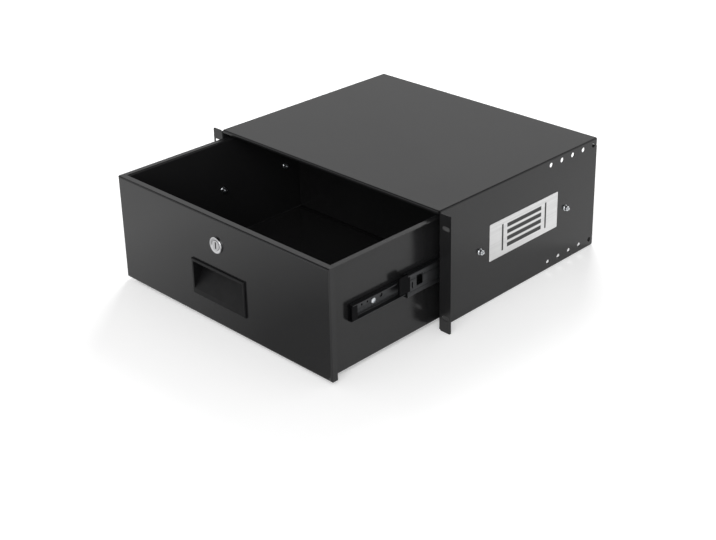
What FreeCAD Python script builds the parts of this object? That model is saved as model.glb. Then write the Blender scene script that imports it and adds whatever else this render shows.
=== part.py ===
import FreeCAD, Part
import math
import os

V = FreeCAD.Vector

# Rack space that the enclosure fills. The origin is the middle of the four ear slots,
# on the front plane of the ears: +X is right, +Y is back and +Z is up.
RACK_UNITS = 4
UNIT_HEIGHT = 44.45
HEIGHT_RELIEF = 0.8
PANEL_WIDTH = 482.6
EAR_HOLE_EDGE = 8.75
EAR_REACH = 20.3
EAR_SLOT_LENGTH = 12.0
EAR_SLOT_HEIGHT = 6.8
EAR_CORNER = 2.5
EAR_TOP_RELIEF = 1.7

# Folded steel sheet
SHEET = 1.2
BEND = 1.3

# Chassis
CHASSIS_DEPTH = 355.0
FRONT_LIP = 4.5
REAR_FLANGE = 14.0
REAR_LIP = 12.0
BASE_FLANGE = 12.0
BASE_FLANGE_SETBACK = 18.0
FLANGE_RELIEF = 1.0
BRACE_HOLE = 7.5
BRACE_COUNT = 5
BRACE_PITCH = 25.8
BRACE_REAR_EDGE = 10.5
BRACE_TOP_EDGE = 9.6
BRACE_BASE_EDGE = 12.1

# Size plate on the right side
PLATE_FRONT_GAP = 19.3
PLATE_REAR_GAP = 21.1
PLATE_HEIGHT = 56.5
PLATE_BASE = 64.0
PLATE_THICKNESS = 0.5
PLATE_CORNER = 1.5

# Drawer, pulled out by OPEN at rest
OPEN = 196.5
FACE_SIDE_GAP = 5.5
FACE_BASE_GAP = 4.8
FACE_TOP_GAP = 12.0
FACE_RETURN = 10.3
TRAY_END_GAP = 10.5
BACK_RETURN = 10.0
TAB_HEIGHT = 12.0
RIM_RELIEF = 0.2

# Telescopic ball bearing slides
SLIDE_THICKNESS = 12.7
SLIDE_HEIGHT = 42.0
SLIDE_SETBACK = 40.0
SLIDE_REAR_GAP = 15.0
SLIDE_DROP = 1.5
SLIDE_SHEET = 1.2
SLIDE_BEND = 0.8
SLIDE_GAP = 0.3
OUTER_LIP = 3.2
MIDDLE_LIP = 1.8
CAGE_LIP = 2.2
RACE_GAP = 3.5
BALL = 3.9
BALL_PLAY = 0.15
BALL_LINE = 5.4
BALLS_PER_ROW = 3
BALL_PITCH = 40.0
CAGE_SHEET = 0.5
CAGE_BEND = 0.5
CAGE_LENGTH = 100.0
CREASE = 0.9
CREASE_RISE = 8.6
MEMBER_CREASE_RISE = 6.4
OUTER_CAGE_SEAT = 0.4
INNER_CAGE_SEAT = 0.425
MIDDLE_SHARE = 0.5
OUTER_CAGE_SHARE = 0.25
INNER_CAGE_SHARE = 0.75
WINDOW_LEAD = 23.2
WINDOW_LENGTH = 12.0
WINDOW_HEIGHT = 15.0
WINDOW_RISE = 3.5
TAB_SLOT_LEAD = 9.0
TAB_SLOT_HEIGHT = 9.0
TAB_SLOT_WIDTH = 2.4
MEMBER_HOLES = ((22.5, 3.2), (33.0, 3.2), (57.6, 6.0))
MEMBER_HOLE_RISE = 2.5
SPARE_HOLE = 4.6
SPARE_LEAD = 16.0

# Plastic end pieces of the slides
CAP_FLANGE = 1.5
CAP_DEPTH = 8.0
CAP_WALL = 1.4
CAP_CORNER = 3.0
BUMPER_DEPTH = 16.0
BUMPER_CORNER = 2.0
BUMPER_GRIP = 4.0
BUMPER_BASE = -7.0
BUMPER_TOP = 19.0
BUMPER_GRIP_TOP = 14.0

# Release lever in the drawer member
LEVER_REAR_LEAD = 95.0
LEVER_HUB = 10.0
LEVER_NOSE = 34.0
LEVER_TAIL = 26.0
LEVER_TIP = 5.6
LEVER_THICKNESS = 3.4
LEVER_PAD = 2.4
LEVER_PAD_LENGTH = 10.0
RIVET = 4.0
RIVET_HEAD = 7.0
RIVET_HEAD_HEIGHT = 1.0
RUNNING_PLAY = 0.05

# Screws and flange nuts of the slides
THREAD = 4.0
HOLE_PLAY = 0.1
CHASSIS_SCREW_LEAD = 44.7
CHASSIS_SCREW_REAR_LEAD = 59.9
CHASSIS_SCREW_PROUD = 6.4
COUNTERSINK = 8.0
COUNTERSINK_DEPTH = 1.2
DRAWER_SCREW_LEAD = 43.0
DRAWER_SCREW_MIDDLE_LEAD = 160.0
DRAWER_SCREW_REAR_LEAD = 33.0
DRAWER_SCREW_LENGTH = 10.0
PAN_HEAD = 8.0
PAN_HEAD_HEIGHT = 2.6
NUT_FLANGE = 9.5
NUT_FLANGE_HEIGHT = 1.1
NUT_FLATS = 7.0
NUT_HEIGHT = 4.2

# Cam lock
LOCK_DROP = 38.0
LOCK_BEZEL = 24.0
LOCK_BEZEL_HEIGHT = 2.5
LOCK_BEZEL_ROUND = 1.2
LOCK_BARREL = 19.0
LOCK_FLAT = 16.0
LOCK_REACH = 18.7
LOCK_PLUG = 14.0
LOCK_PLUG_SINK = 0.7
LOCK_GAP = 0.3
KEYHOLE_HEIGHT = 10.0
KEYHOLE_WIDTH = 2.2
KEYHOLE_DEPTH = 16.0
PLUG_SQUARE = 8.0
WASHER = 26.0
WASHER_THICKNESS = 0.8
WASHER_TEETH = 12
WASHER_TOOTH = 1.4
LOCK_NUT_FLATS = 22.0
LOCK_NUT_HEIGHT = 4.0
CAM_LENGTH = 45.0
CAM_WIDTH = 16.0
CAM_TIP = 12.0
CAM_THICKNESS = 2.0
CAM_SCREW_HEAD = 9.0
CAM_SCREW_HEAD_HEIGHT = 2.4
CAM_SCREW_DEPTH = 8.0
STRIKE_WIDTH = 30.0
STRIKE_DROP = 8.8
STRIKE_REACH = 14.0
STRIKE_PLAY = 1.0

# Recessed pull
PULL_WIDTH = 110.0
PULL_TOP = 74.0
PULL_HEIGHT = 53.7
PULL_PROUD = 2.8
PULL_ROUND = 1.4
PULL_SIDE_STRIP = 4.0
PULL_TOP_STRIP = 4.0
PULL_BASE_STRIP = 8.7
PULL_DEPTH = 22.0
PULL_BACK_HEIGHT = 5.0
PULL_WALL = 1.8
PULL_PLAY = 0.3
PULL_TAB_WIDTH = 10.0
PULL_TAB_RISE = 1.6
PULL_TAB_RUN = 7.0
PULL_TAB_SPREAD = 30.0
PULL_TAB_DROP = 15.0

# Keys on their ring, loose on the drawer floor
KEY_HEAD_LENGTH = 24.0
KEY_HEAD_WIDTH = 21.0
KEY_HEAD_THICKNESS = 2.2
KEY_HEAD_ROUND = 7.0
KEY_HOLE = 6.6
KEY_HOLE_EDGE = 5.3
KEY_BLADE_LENGTH = 26.0
KEY_BLADE_WIDTH = 7.0
KEY_BLADE_THICKNESS = 1.4
KEY_TANG = 9.0
KEY_BIT_PITCH = 3.6
KEY_BIT_COUNT = 5
KEY_BIT_DEPTH = 1.5
KEY_SHALLOW_BIT = 0.9
KEY_TIP = 2.4
KEY_FAN = 38.0
RING_DIAMETER = 22.4
RING_WIRE = 1.4
RING_LEAN = 50.0
RING_SPREAD = 20.0
RING_X = -120.0
RING_SETBACK = 60.0
LAY_GAP = 0.3

# Places worked out from the sizes above
CHASSIS_WIDTH = PANEL_WIDTH - 2 * EAR_REACH
CHASSIS_HEIGHT = RACK_UNITS * UNIT_HEIGHT - HEIGHT_RELIEF
EAR_HOLE_X = PANEL_WIDTH / 2 - EAR_HOLE_EDGE
EAR_HOLE_RISE = (RACK_UNITS - 1) * UNIT_HEIGHT
TOP = CHASSIS_HEIGHT / 2
BASE = -TOP
SIDE = CHASSIS_WIDTH / 2
SIDE_IN = SIDE - SHEET
CORNER = BEND + SHEET
FACE_HALF = SIDE - FACE_SIDE_GAP
FACE_TOP = TOP - FACE_TOP_GAP
FACE_BASE = BASE + FACE_BASE_GAP
FACE_FRONT = -OPEN
FACE_BACK = FACE_FRONT + SHEET
WALL_OUT = SIDE_IN - SLIDE_THICKNESS
WALL_IN = WALL_OUT - SHEET
FLOOR_BASE = FACE_BASE + SHEET
FLOOR = FLOOR_BASE + SHEET
TRAY_END = CHASSIS_DEPTH - TRAY_END_GAP - OPEN
BACK_FRONT = TRAY_END - BACK_RETURN
SLIDE_Z = -SLIDE_DROP
SLIDE_LENGTH = CHASSIS_DEPTH - SLIDE_SETBACK - SLIDE_REAR_GAP
OUTER_Y = SLIDE_SETBACK
MIDDLE_Y = OUTER_Y - OPEN * MIDDLE_SHARE
INNER_Y = OUTER_Y - OPEN
CAGE_ROOM = SLIDE_LENGTH - CAGE_LENGTH
OUTER_CAGE_Y = OUTER_Y + CAGE_ROOM * OUTER_CAGE_SEAT - OPEN * OUTER_CAGE_SHARE
INNER_CAGE_Y = OUTER_Y + CAGE_ROOM * INNER_CAGE_SEAT - OPEN * INNER_CAGE_SHARE
LEVER_Y = INNER_Y + SLIDE_LENGTH - LEVER_REAR_LEAD
CHASSIS_SCREW_YS = (OUTER_Y + CHASSIS_SCREW_LEAD, OUTER_Y + SLIDE_LENGTH - CHASSIS_SCREW_REAR_LEAD)
DRAWER_SCREW_YS = (INNER_Y + DRAWER_SCREW_LEAD, INNER_Y + SLIDE_LENGTH - DRAWER_SCREW_MIDDLE_LEAD,
                   INNER_Y + SLIDE_LENGTH - DRAWER_SCREW_REAR_LEAD)

# Slide section: distances out from the drawer wall, and half heights
OUTER_WEB = SLIDE_THICKNESS - SLIDE_SHEET
OUTER_CAGE_WEB = OUTER_WEB - SLIDE_GAP
MIDDLE_WEB = OUTER_CAGE_WEB - CAGE_SHEET - SLIDE_GAP
INNER_CAGE_WEB = MIDDLE_WEB - SLIDE_SHEET - SLIDE_GAP
MEMBER_LIP = INNER_CAGE_WEB - CAGE_SHEET - SLIDE_GAP
OUTER_HALF = SLIDE_HEIGHT / 2
OUTER_ROW = OUTER_HALF - SLIDE_SHEET - RACE_GAP / 2
MIDDLE_HALF = OUTER_ROW - RACE_GAP / 2
INNER_ROW = MIDDLE_HALF - SLIDE_SHEET - RACE_GAP / 2
MEMBER_HALF = INNER_ROW - RACE_GAP / 2
RACE_RADIUS = BALL / 2 + BALL_PLAY

LOCK_Z = FACE_TOP - LOCK_DROP
CAM_FRONT = FACE_FRONT + LOCK_REACH + LOCK_GAP
CAM_BACK = CAM_FRONT + CAM_THICKNESS
PULL_Z1 = FACE_TOP - PULL_TOP
PULL_Z0 = PULL_Z1 - PULL_HEIGHT


def box(x0, x1, y0, y1, z0, z1):
    return Part.makeBox(x1 - x0, y1 - y0, z1 - z0, V(x0, y0, z0))


def rod(diameter, start, run):
    return Part.makeCylinder(diameter / 2, run.Length, start, run)


def turned(profile, start, axis):
    """Solid of revolution: profile gives radius and height, from start along axis."""
    points = [V(radius, 0, height) for radius, height in profile]
    face = Part.Face(Part.makePolygon(points + points[:1]))
    solid = face.revolve(V(0, 0, 0), V(0, 0, 1), 360)
    solid.Placement = FreeCAD.Placement(start, FreeCAD.Rotation(V(0, 0, 1), axis))
    return solid


def hexagon(flats, start, run):
    """Hexagonal prism with a corner upwards where it lies along X or Y."""
    radius = flats / math.sqrt(3)
    points = [V(radius * math.cos(turn * math.pi / 3), radius * math.sin(turn * math.pi / 3), 0)
              for turn in range(6)]
    face = Part.Face(Part.makePolygon(points + points[:1]))
    solid = face.extrude(V(0, 0, run.Length))
    solid.Placement = FreeCAD.Placement(start, FreeCAD.Rotation(V(0, 0, 1), run))
    return solid


def on_section(y):
    """Plane across the enclosure, at depth y."""
    return lambda across, up: V(across, y, up)


def on_side(x):
    """Plane along the enclosure, at width x."""
    return lambda back, up: V(x, back, up)


def on_floor(z):
    """Level plane at height z."""
    return lambda across, back: V(across, back, z)


def left_of(run):
    return V(-run.y, run.x, 0)


def bent_sheet(points, thickness, bend, plane, travel):
    """Bent strip pulled along travel: points run along one skin, the sheet lies on their left."""
    corners = [V(u, v, 0) for u, v in points]
    runs = [(after - before).normalize() for before, after in zip(corners, corners[1:])]
    first_side = left_of(runs[0]) * thickness
    near_edges = []
    far_edges = []
    near = corners[0]
    far = corners[0] + first_side
    for corner, run_in, run_out in zip(corners[1:-1], runs, runs[1:]):
        side = 1 if run_in.cross(run_out).z > 0 else -1
        near_radius = bend + thickness if side > 0 else bend
        far_radius = near_radius - side * thickness
        reach = near_radius * math.tan(run_in.getAngle(run_out) / 2)
        start = corner - run_in * reach
        end = corner + run_out * reach
        centre = start + left_of(run_in) * (near_radius * side)
        middle = (corner - centre).normalize()
        far_start = start + left_of(run_in) * thickness
        far_end = end + left_of(run_out) * thickness
        near_edges.append((near, start))
        near_edges.append((start, centre + middle * near_radius, end))
        far_edges.append((far, far_start))
        far_edges.append((far_start, centre + middle * far_radius, far_end))
        near = end
        far = far_end
    last = corners[-1]
    last_far = last + left_of(runs[-1]) * thickness
    near_edges.append((near, last))
    far_edges.append((far, last_far))
    caps = [(last, last_far), (corners[0], corners[0] + first_side)]
    edges = []
    for stops in near_edges + far_edges + caps:
        placed = [plane(stop.x, stop.y) for stop in stops]
        curve = Part.LineSegment(*placed) if len(placed) == 2 else Part.Arc(*placed)
        edges.append(curve.toShape())
    wire = Part.Wire(Part.__sortEdges__(edges))
    return Part.Face(wire).extrude(travel)


def prism(points, plane, travel):
    """Straight-sided solid: a closed outline on a plane, pulled along travel."""
    placed = [plane(u, v) for u, v in points]
    return Part.Face(Part.makePolygon(placed + placed[:1])).extrude(travel)


def slot_cut(centre, length, height, depth):
    """Round-ended slot along X, cut through in Y from the centre point."""
    straight = length - height
    left = centre - V(straight / 2, 0, 0)
    run = V(0, depth, 0)
    middle = Part.makeBox(straight, depth, height, left - V(0, 0, height / 2))
    return middle.fuse([rod(height, left, run), rod(height, left + V(straight, 0, 0), run)])


def round_edges(solid, radius, picks):
    return solid.makeFillet(radius, [edge for edge in solid.Edges if picks(edge)])


def on_front(y):
    """Picks the edges that lie in the plane at depth y."""
    return lambda edge: edge.BoundBox.YMax < y + SHEET / 4 and edge.BoundBox.YMin > y - SHEET / 4


def pan(half_width, z0, z1, front, depth):
    """Sheet panel with four returns folded backwards."""
    skin = box(-half_width, half_width, front, front + depth, z0, z1)
    skin = round_edges(skin, CORNER, on_front(front))
    inner = half_width - SHEET
    inside = box(-inner, inner, front + SHEET, front + 2 * depth, z0 + SHEET, z1 - SHEET)
    inside = round_edges(inside, BEND, on_front(front + SHEET))
    return skin.cut(inside)


def other_side(solid):
    return solid.mirror(V(0, 0, 0), V(1, 0, 0))


def both_sides(solids):
    return solids + [other_side(solid) for solid in solids]


# Screws and nuts

def countersunk_screw(y):
    """Screw from inside the outer member, out through the chassis side."""
    head = SLIDE_THICKNESS - SLIDE_SHEET
    start = V(WALL_OUT + head, y, SLIDE_Z)
    length = SIDE + CHASSIS_SCREW_PROUD - start.x
    profile = [(0, 0), (COUNTERSINK / 2, 0), (THREAD / 2, COUNTERSINK_DEPTH), (THREAD / 2, length),
               (0, length)]
    return turned(profile, start, V(1, 0, 0))


def countersunk_cut(y):
    start = V(WALL_OUT + SLIDE_THICKNESS - SLIDE_SHEET, y, SLIDE_Z)
    play = HOLE_PLAY
    through = 4 * SHEET
    profile = [(0, -play), (COUNTERSINK / 2 + play, -play), (COUNTERSINK / 2 + play, 0),
               (THREAD / 2 + play, COUNTERSINK_DEPTH), (THREAD / 2 + play, through), (0, through)]
    return turned(profile, start, V(1, 0, 0))


def flange_nut(start, axis):
    flange = rod(NUT_FLANGE, start, axis * NUT_FLANGE_HEIGHT)
    nut = hexagon(NUT_FLATS, start, axis * NUT_HEIGHT).fuse(flange)
    return nut.cut(rod(THREAD + 2 * RUNNING_PLAY, start, axis * NUT_HEIGHT))


def pan_screw(y):
    """Screw from the drawer member's channel, in through the drawer wall."""
    start = V(WALL_OUT + SLIDE_SHEET, y, SLIDE_Z)
    crown = PAN_HEAD_HEIGHT / 2
    profile = [(0, -PAN_HEAD_HEIGHT), (PAN_HEAD / 2 - crown, -PAN_HEAD_HEIGHT), (PAN_HEAD / 2, 0),
               (THREAD / 2, 0), (THREAD / 2, DRAWER_SCREW_LENGTH), (0, DRAWER_SCREW_LENGTH)]
    return turned(profile, start, V(-1, 0, 0))


def screw_hole(y, x):
    return rod(THREAD + 2 * HOLE_PLAY, V(x, y, SLIDE_Z), V(4 * SHEET, 0, 0))


# Chassis

def ear_bend(x, y, reach, z0, z1):
    """Side sheet with its inner skin at x, turned outwards so that its front skin is at y."""
    points = [(x, y + CORNER + SHEET), (x, y), (reach, y)]
    return bent_sheet(points, SHEET, BEND, on_floor(z0), V(0, 0, z1 - z0))


def rack_ear():
    """Right ear, its bend from the chassis side, and its two slots."""
    flat = box(SIDE_IN + CORNER, PANEL_WIDTH / 2, 0, SHEET, BASE, TOP - EAR_TOP_RELIEF)
    flat = round_edges(flat, EAR_CORNER, lambda edge: edge.BoundBox.XMin > SIDE
                       and edge.BoundBox.YLength > SHEET / 2)
    bend = ear_bend(SIDE_IN, 0, SIDE + CORNER, BASE + CORNER, TOP - CORNER)
    slots = [slot_cut(V(EAR_HOLE_X, -SHEET, z), EAR_SLOT_LENGTH, EAR_SLOT_HEIGHT, 4 * SHEET)
             for z in (-EAR_HOLE_RISE / 2, EAR_HOLE_RISE / 2)]
    return flat.fuse(bend).cut(slots)


def rear_flange():
    """Right rear edge of the chassis, folded inwards."""
    points = [(SIDE, CHASSIS_DEPTH - CORNER - SHEET), (SIDE, CHASSIS_DEPTH),
              (SIDE - REAR_FLANGE, CHASSIS_DEPTH)]
    z0 = BASE + CORNER
    z1 = TOP - REAR_LIP - FLANGE_RELIEF
    return bent_sheet(points, SHEET, BEND, on_floor(z0), V(0, 0, z1 - z0))


def brace_holes():
    """Two rows of holes through both sides, near the back."""
    holes = []
    last = CHASSIS_DEPTH - BRACE_REAR_EDGE
    for z in (TOP - BRACE_TOP_EDGE, BASE + BRACE_BASE_EDGE):
        for place in range(BRACE_COUNT):
            start = V(-CHASSIS_WIDTH, last - place * BRACE_PITCH, z)
            holes.append(rod(BRACE_HOLE, start, V(2 * CHASSIS_WIDTH, 0, 0)))
    return holes


def flange_relief():
    """Notch that ends the right base flange short of the ear."""
    inner = SIDE - BASE_FLANGE - SHEET
    return box(inner, SIDE - CORNER, 0, BASE_FLANGE_SETBACK, BASE - SHEET, BASE + CORNER)


def chassis_shell():
    """Top, two sides and base flanges in one folded sheet, with ears, lips and rear flanges."""
    section = [(SIDE - BASE_FLANGE, BASE), (SIDE, BASE), (SIDE, TOP), (-SIDE, TOP), (-SIDE, BASE),
               (-SIDE + BASE_FLANGE, BASE)]
    length = CHASSIS_DEPTH - 2 * CORNER
    shell = bent_sheet(section, SHEET, BEND, on_section(CORNER), V(0, length, 0))
    across = on_side(-SIDE + CORNER)
    width = V(CHASSIS_WIDTH - 2 * CORNER, 0, 0)
    front_lip = [(CORNER + SHEET, TOP), (0, TOP), (0, TOP - FRONT_LIP)]
    rear_lip = [(CHASSIS_DEPTH, TOP - REAR_LIP), (CHASSIS_DEPTH, TOP), (CHASSIS_DEPTH - CORNER - SHEET, TOP)]
    folds = [bent_sheet(points, SHEET, BEND, across, width) for points in (front_lip, rear_lip)]
    folds += both_sides([rack_ear(), rear_flange()])
    screw_cuts = both_sides([countersunk_cut(y) for y in CHASSIS_SCREW_YS])
    return shell.fuse(folds).removeSplitter().cut(brace_holes() + screw_cuts + both_sides([flange_relief()]))


def lock_strike():
    """Small angle under the top. The raised cam comes up behind its drop leg."""
    back = CAM_FRONT - FACE_FRONT - STRIKE_PLAY
    under = TOP - SHEET
    points = [(back, under - STRIKE_DROP), (back, under), (back - STRIKE_REACH, under)]
    return bent_sheet(points, SHEET, BEND, on_side(-STRIKE_WIDTH / 2), V(STRIKE_WIDTH, 0, 0))


def size_plate():
    """Thin plate on the right side, between the two flange nuts."""
    y0 = CHASSIS_SCREW_YS[0] + PLATE_FRONT_GAP
    y1 = CHASSIS_SCREW_YS[1] - PLATE_REAR_GAP
    z0 = BASE + PLATE_BASE
    plate = box(SIDE, SIDE + PLATE_THICKNESS, y0, y1, z0, z0 + PLATE_HEIGHT)
    return round_edges(plate, PLATE_CORNER, lambda edge: edge.BoundBox.XLength > PLATE_THICKNESS / 2)


# Drawer

def lock_section(play, front, depth):
    """Round barrel with two flats, running back from front."""
    width = LOCK_FLAT / 2 + play
    barrel = rod(LOCK_BARREL + 2 * play, V(0, front, LOCK_Z), V(0, depth, 0))
    return barrel.common(box(-width, width, front, front + depth, LOCK_Z - LOCK_BARREL, LOCK_Z + LOCK_BARREL))


def drawer_face():
    panel = pan(FACE_HALF, FACE_BASE, FACE_TOP, FACE_FRONT, FACE_RETURN)
    half = PULL_WIDTH / 2 - PULL_SIDE_STRIP + PULL_WALL + PULL_PLAY
    edge = PULL_WALL + PULL_PLAY
    pull_hole = box(-half, half, FACE_FRONT - SHEET, FACE_BACK + SHEET,
                    PULL_Z0 + PULL_BASE_STRIP - edge, PULL_Z1 - PULL_TOP_STRIP + edge)
    return panel.cut([lock_section(HOLE_PLAY, FACE_FRONT - SHEET, 3 * SHEET), pull_hole])


def drawer_tray():
    """Floor and sides in one sheet: the sides' tops turn outwards, and tabs in front meet the face."""
    section = [(FACE_HALF, FACE_TOP), (WALL_IN, FACE_TOP), (WALL_IN, FLOOR), (-WALL_IN, FLOOR),
               (-WALL_IN, FACE_TOP), (-FACE_HALF, FACE_TOP)]
    front = FACE_BACK + CORNER
    tray = bent_sheet(section, SHEET, BEND, on_section(front), V(0, TRAY_END - front, 0))
    tab_top = FACE_TOP - SHEET - RIM_RELIEF
    side_tab = ear_bend(WALL_IN, FACE_BACK, FACE_HALF - CORNER, FLOOR_BASE + TAB_HEIGHT, tab_top - TAB_HEIGHT)
    floor_points = [(FACE_BACK, FLOOR_BASE + TAB_HEIGHT), (FACE_BACK, FLOOR_BASE),
                    (FACE_BACK + CORNER + SHEET, FLOOR_BASE)]
    width = V(2 * (WALL_IN - CORNER), 0, 0)
    floor_tab = bent_sheet(floor_points, SHEET, BEND, on_side(-WALL_IN + CORNER), width)
    rim_cut = box(-SIDE, SIDE, FACE_FRONT, FACE_FRONT + FACE_RETURN + RIM_RELIEF, tab_top, TOP)
    holes = [screw_hole(y, WALL_OUT - 2 * SHEET) for y in DRAWER_SCREW_YS]
    tray = tray.fuse(both_sides([side_tab]) + [floor_tab]).removeSplitter()
    return tray.cut([rim_cut] + both_sides(holes))


def drawer_back():
    return pan(WALL_IN, FLOOR + BEND, FACE_TOP, BACK_FRONT, BACK_RETURN)


# Recessed pull

def pull_cup():
    """Moulded cup: a framed pocket whose back slopes in from the bottom, with snap tabs."""
    half = PULL_WIDTH / 2 - PULL_SIDE_STRIP
    z0 = PULL_Z0 + PULL_BASE_STRIP
    z1 = PULL_Z1 - PULL_TOP_STRIP
    front = FACE_FRONT - PULL_PROUD
    deep = FACE_FRONT + PULL_DEPTH
    frame = box(-PULL_WIDTH / 2, PULL_WIDTH / 2, front, FACE_FRONT, PULL_Z0, PULL_Z1)
    frame = round_edges(frame, PULL_ROUND, lambda edge: edge.BoundBox.YMax < FACE_FRONT - PULL_ROUND / 4)
    slope = (z1 - PULL_BACK_HEIGHT - z0) / (deep - front)
    outside = [(FACE_FRONT, z0 - PULL_WALL), (FACE_FRONT + PULL_WALL, z0 - PULL_WALL),
               (deep + PULL_WALL, z1 - PULL_BACK_HEIGHT - PULL_WALL / 2), (deep + PULL_WALL, z1 + PULL_WALL),
               (FACE_FRONT, z1 + PULL_WALL)]
    pocket = [(front - PULL_WALL, z0 - slope * PULL_WALL), (deep, z1 - PULL_BACK_HEIGHT),
              (deep, z1), (front - PULL_WALL, z1)]
    shell = prism(outside, on_side(-half - PULL_WALL), V(2 * (half + PULL_WALL), 0, 0))
    hollow = prism(pocket, on_side(-half), V(2 * half, 0, 0))
    catch = FACE_BACK + PULL_PLAY
    top_tab = [(catch, z1 + PULL_WALL), (catch, z1 + PULL_WALL + PULL_TAB_RISE),
               (catch + PULL_TAB_RUN, z1 + PULL_WALL)]
    side_tab = [(half + PULL_WALL, catch), (half + PULL_WALL + PULL_TAB_RISE, catch),
                (half + PULL_WALL, catch + PULL_TAB_RUN)]
    width = PULL_TAB_WIDTH
    tabs = both_sides([prism(top_tab, on_side(PULL_TAB_SPREAD - width / 2), V(width, 0, 0)),
                       prism(side_tab, on_floor(z1 - PULL_TAB_DROP), V(0, 0, width))])
    return frame.fuse([shell] + tabs).cut(hollow)


# Cam lock

def lock_housing():
    """Bezel and threaded barrel, bored for the plug."""
    bore = LOCK_PLUG / 2 + RUNNING_PLAY
    start = V(0, FACE_FRONT - LOCK_BEZEL_HEIGHT, LOCK_Z)
    edge = LOCK_BEZEL / 2
    bezel = turned([(0, 0), (edge - LOCK_BEZEL_ROUND, 0), (edge, LOCK_BEZEL_ROUND), (edge, LOCK_BEZEL_HEIGHT),
                    (0, LOCK_BEZEL_HEIGHT)], start, V(0, 1, 0))
    barrel = lock_section(0, FACE_FRONT, LOCK_REACH)
    through = rod(2 * bore, start - V(0, SHEET, 0), V(0, LOCK_BEZEL_HEIGHT + LOCK_REACH + 2 * SHEET, 0))
    return bezel.fuse(barrel).cut(through)


def lock_washer():
    """Toothed washer behind the face."""
    points = []
    for step in range(2 * WASHER_TEETH):
        radius = WASHER / 2 - (step % 2) * WASHER_TOOTH
        turn = step * math.pi / WASHER_TEETH
        points.append((radius * math.cos(turn), LOCK_Z + radius * math.sin(turn)))
    ring = prism(points, on_section(FACE_BACK), V(0, WASHER_THICKNESS, 0))
    return ring.cut(rod(LOCK_BARREL + 2 * RUNNING_PLAY, V(0, FACE_BACK, LOCK_Z), V(0, WASHER_THICKNESS, 0)))


def lock_nut():
    start = V(0, FACE_BACK + WASHER_THICKNESS, LOCK_Z)
    run = V(0, LOCK_NUT_HEIGHT, 0)
    return hexagon(LOCK_NUT_FLATS, start, run).cut(rod(LOCK_BARREL + 2 * RUNNING_PLAY, start, run))


def spindle(play, y0, y1):
    half = PLUG_SQUARE / 2 + play
    return box(-half, half, y0, y1, LOCK_Z - half, LOCK_Z + half)


def lock_plug():
    """Turning core with its keyhole, and a square spindle for the cam."""
    front = FACE_FRONT - LOCK_BEZEL_HEIGHT + LOCK_PLUG_SINK
    core = rod(LOCK_PLUG, V(0, front, LOCK_Z), V(0, CAM_FRONT - front, 0))
    plug = core.fuse(spindle(0, CAM_FRONT, CAM_BACK))
    keyhole = box(-KEYHOLE_WIDTH / 2, KEYHOLE_WIDTH / 2, front - SHEET, front + KEYHOLE_DEPTH,
                  LOCK_Z - KEYHOLE_HEIGHT / 2, LOCK_Z + KEYHOLE_HEIGHT / 2)
    tapped = rod(THREAD + 2 * RUNNING_PLAY, V(0, CAM_BACK, LOCK_Z), V(0, -CAM_SCREW_DEPTH, 0))
    return plug.cut([keyhole, tapped])


def lock_cam():
    """Flat lever on the plug. It lies to the left when unlocked."""
    tip = CAM_LENGTH - CAM_TIP / 2
    arm = [(0, LOCK_Z - CAM_WIDTH / 2), (0, LOCK_Z + CAM_WIDTH / 2), (-tip, LOCK_Z + CAM_TIP / 2),
           (-tip, LOCK_Z - CAM_TIP / 2)]
    run = V(0, CAM_THICKNESS, 0)
    ends = [rod(CAM_WIDTH, V(0, CAM_FRONT, LOCK_Z), run), rod(CAM_TIP, V(-tip, CAM_FRONT, LOCK_Z), run)]
    cam = prism(arm, on_section(CAM_FRONT), run).fuse(ends)
    return cam.cut(spindle(RUNNING_PLAY, CAM_FRONT, CAM_BACK)).removeSplitter()


def cam_screw():
    head = CAM_SCREW_HEAD_HEIGHT
    profile = [(0, -CAM_SCREW_DEPTH), (THREAD / 2, -CAM_SCREW_DEPTH), (THREAD / 2, 0), (CAM_SCREW_HEAD / 2, 0),
               (CAM_SCREW_HEAD / 2, head / 2), (CAM_SCREW_HEAD / 2 - head / 2, head), (0, head)]
    return turned(profile, V(0, CAM_BACK, LOCK_Z), V(0, 1, 0))


# Slides, made for the right side

def channel(web, lip, half, sheet, bend, y, length):
    """C-section: web is its outer skin, out from the drawer wall, and lip is where its flanges end."""
    way = 1 if web > lip else -1
    points = [(WALL_OUT + lip, SLIDE_Z - way * half), (WALL_OUT + web, SLIDE_Z - way * half),
              (WALL_OUT + web, SLIDE_Z + way * half), (WALL_OUT + lip, SLIDE_Z + way * half)]
    return bent_sheet(points, sheet, bend, on_section(y), V(0, length, 0))


def raceways(row, y):
    """Grooves that the balls of one row pair run in."""
    run = V(0, SLIDE_LENGTH + 2 * SHEET, 0)
    return [rod(2 * RACE_RADIUS, V(WALL_OUT + BALL_LINE, y - SHEET, z), run)
            for z in (SLIDE_Z - row, SLIDE_Z + row)]


def creases(web, rise, y):
    """Rolled grooves along a web, between its flat middle and its flanges."""
    run = V(0, SLIDE_LENGTH + 2 * SHEET, 0)
    return [rod(CREASE, V(WALL_OUT + web, y - SHEET, z), run) for z in (SLIDE_Z - rise, SLIDE_Z + rise)]


def web_hole(diameter, y, rise):
    return rod(diameter, V(WALL_OUT - SHEET, y, SLIDE_Z + rise), V(SLIDE_THICKNESS + 2 * SHEET, 0, 0))


def outer_member():
    member = channel(SLIDE_THICKNESS, OUTER_LIP, OUTER_HALF, SLIDE_SHEET, SLIDE_BEND, OUTER_Y, SLIDE_LENGTH)
    cuts = [countersunk_cut(y) for y in CHASSIS_SCREW_YS]
    spare_ys = (OUTER_Y + SPARE_LEAD, OUTER_Y + SLIDE_LENGTH - SPARE_LEAD)
    spare = [web_hole(SPARE_HOLE, y, 0) for y in spare_ys]
    return member.cut(raceways(OUTER_ROW, OUTER_Y) + cuts + spare)


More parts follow.
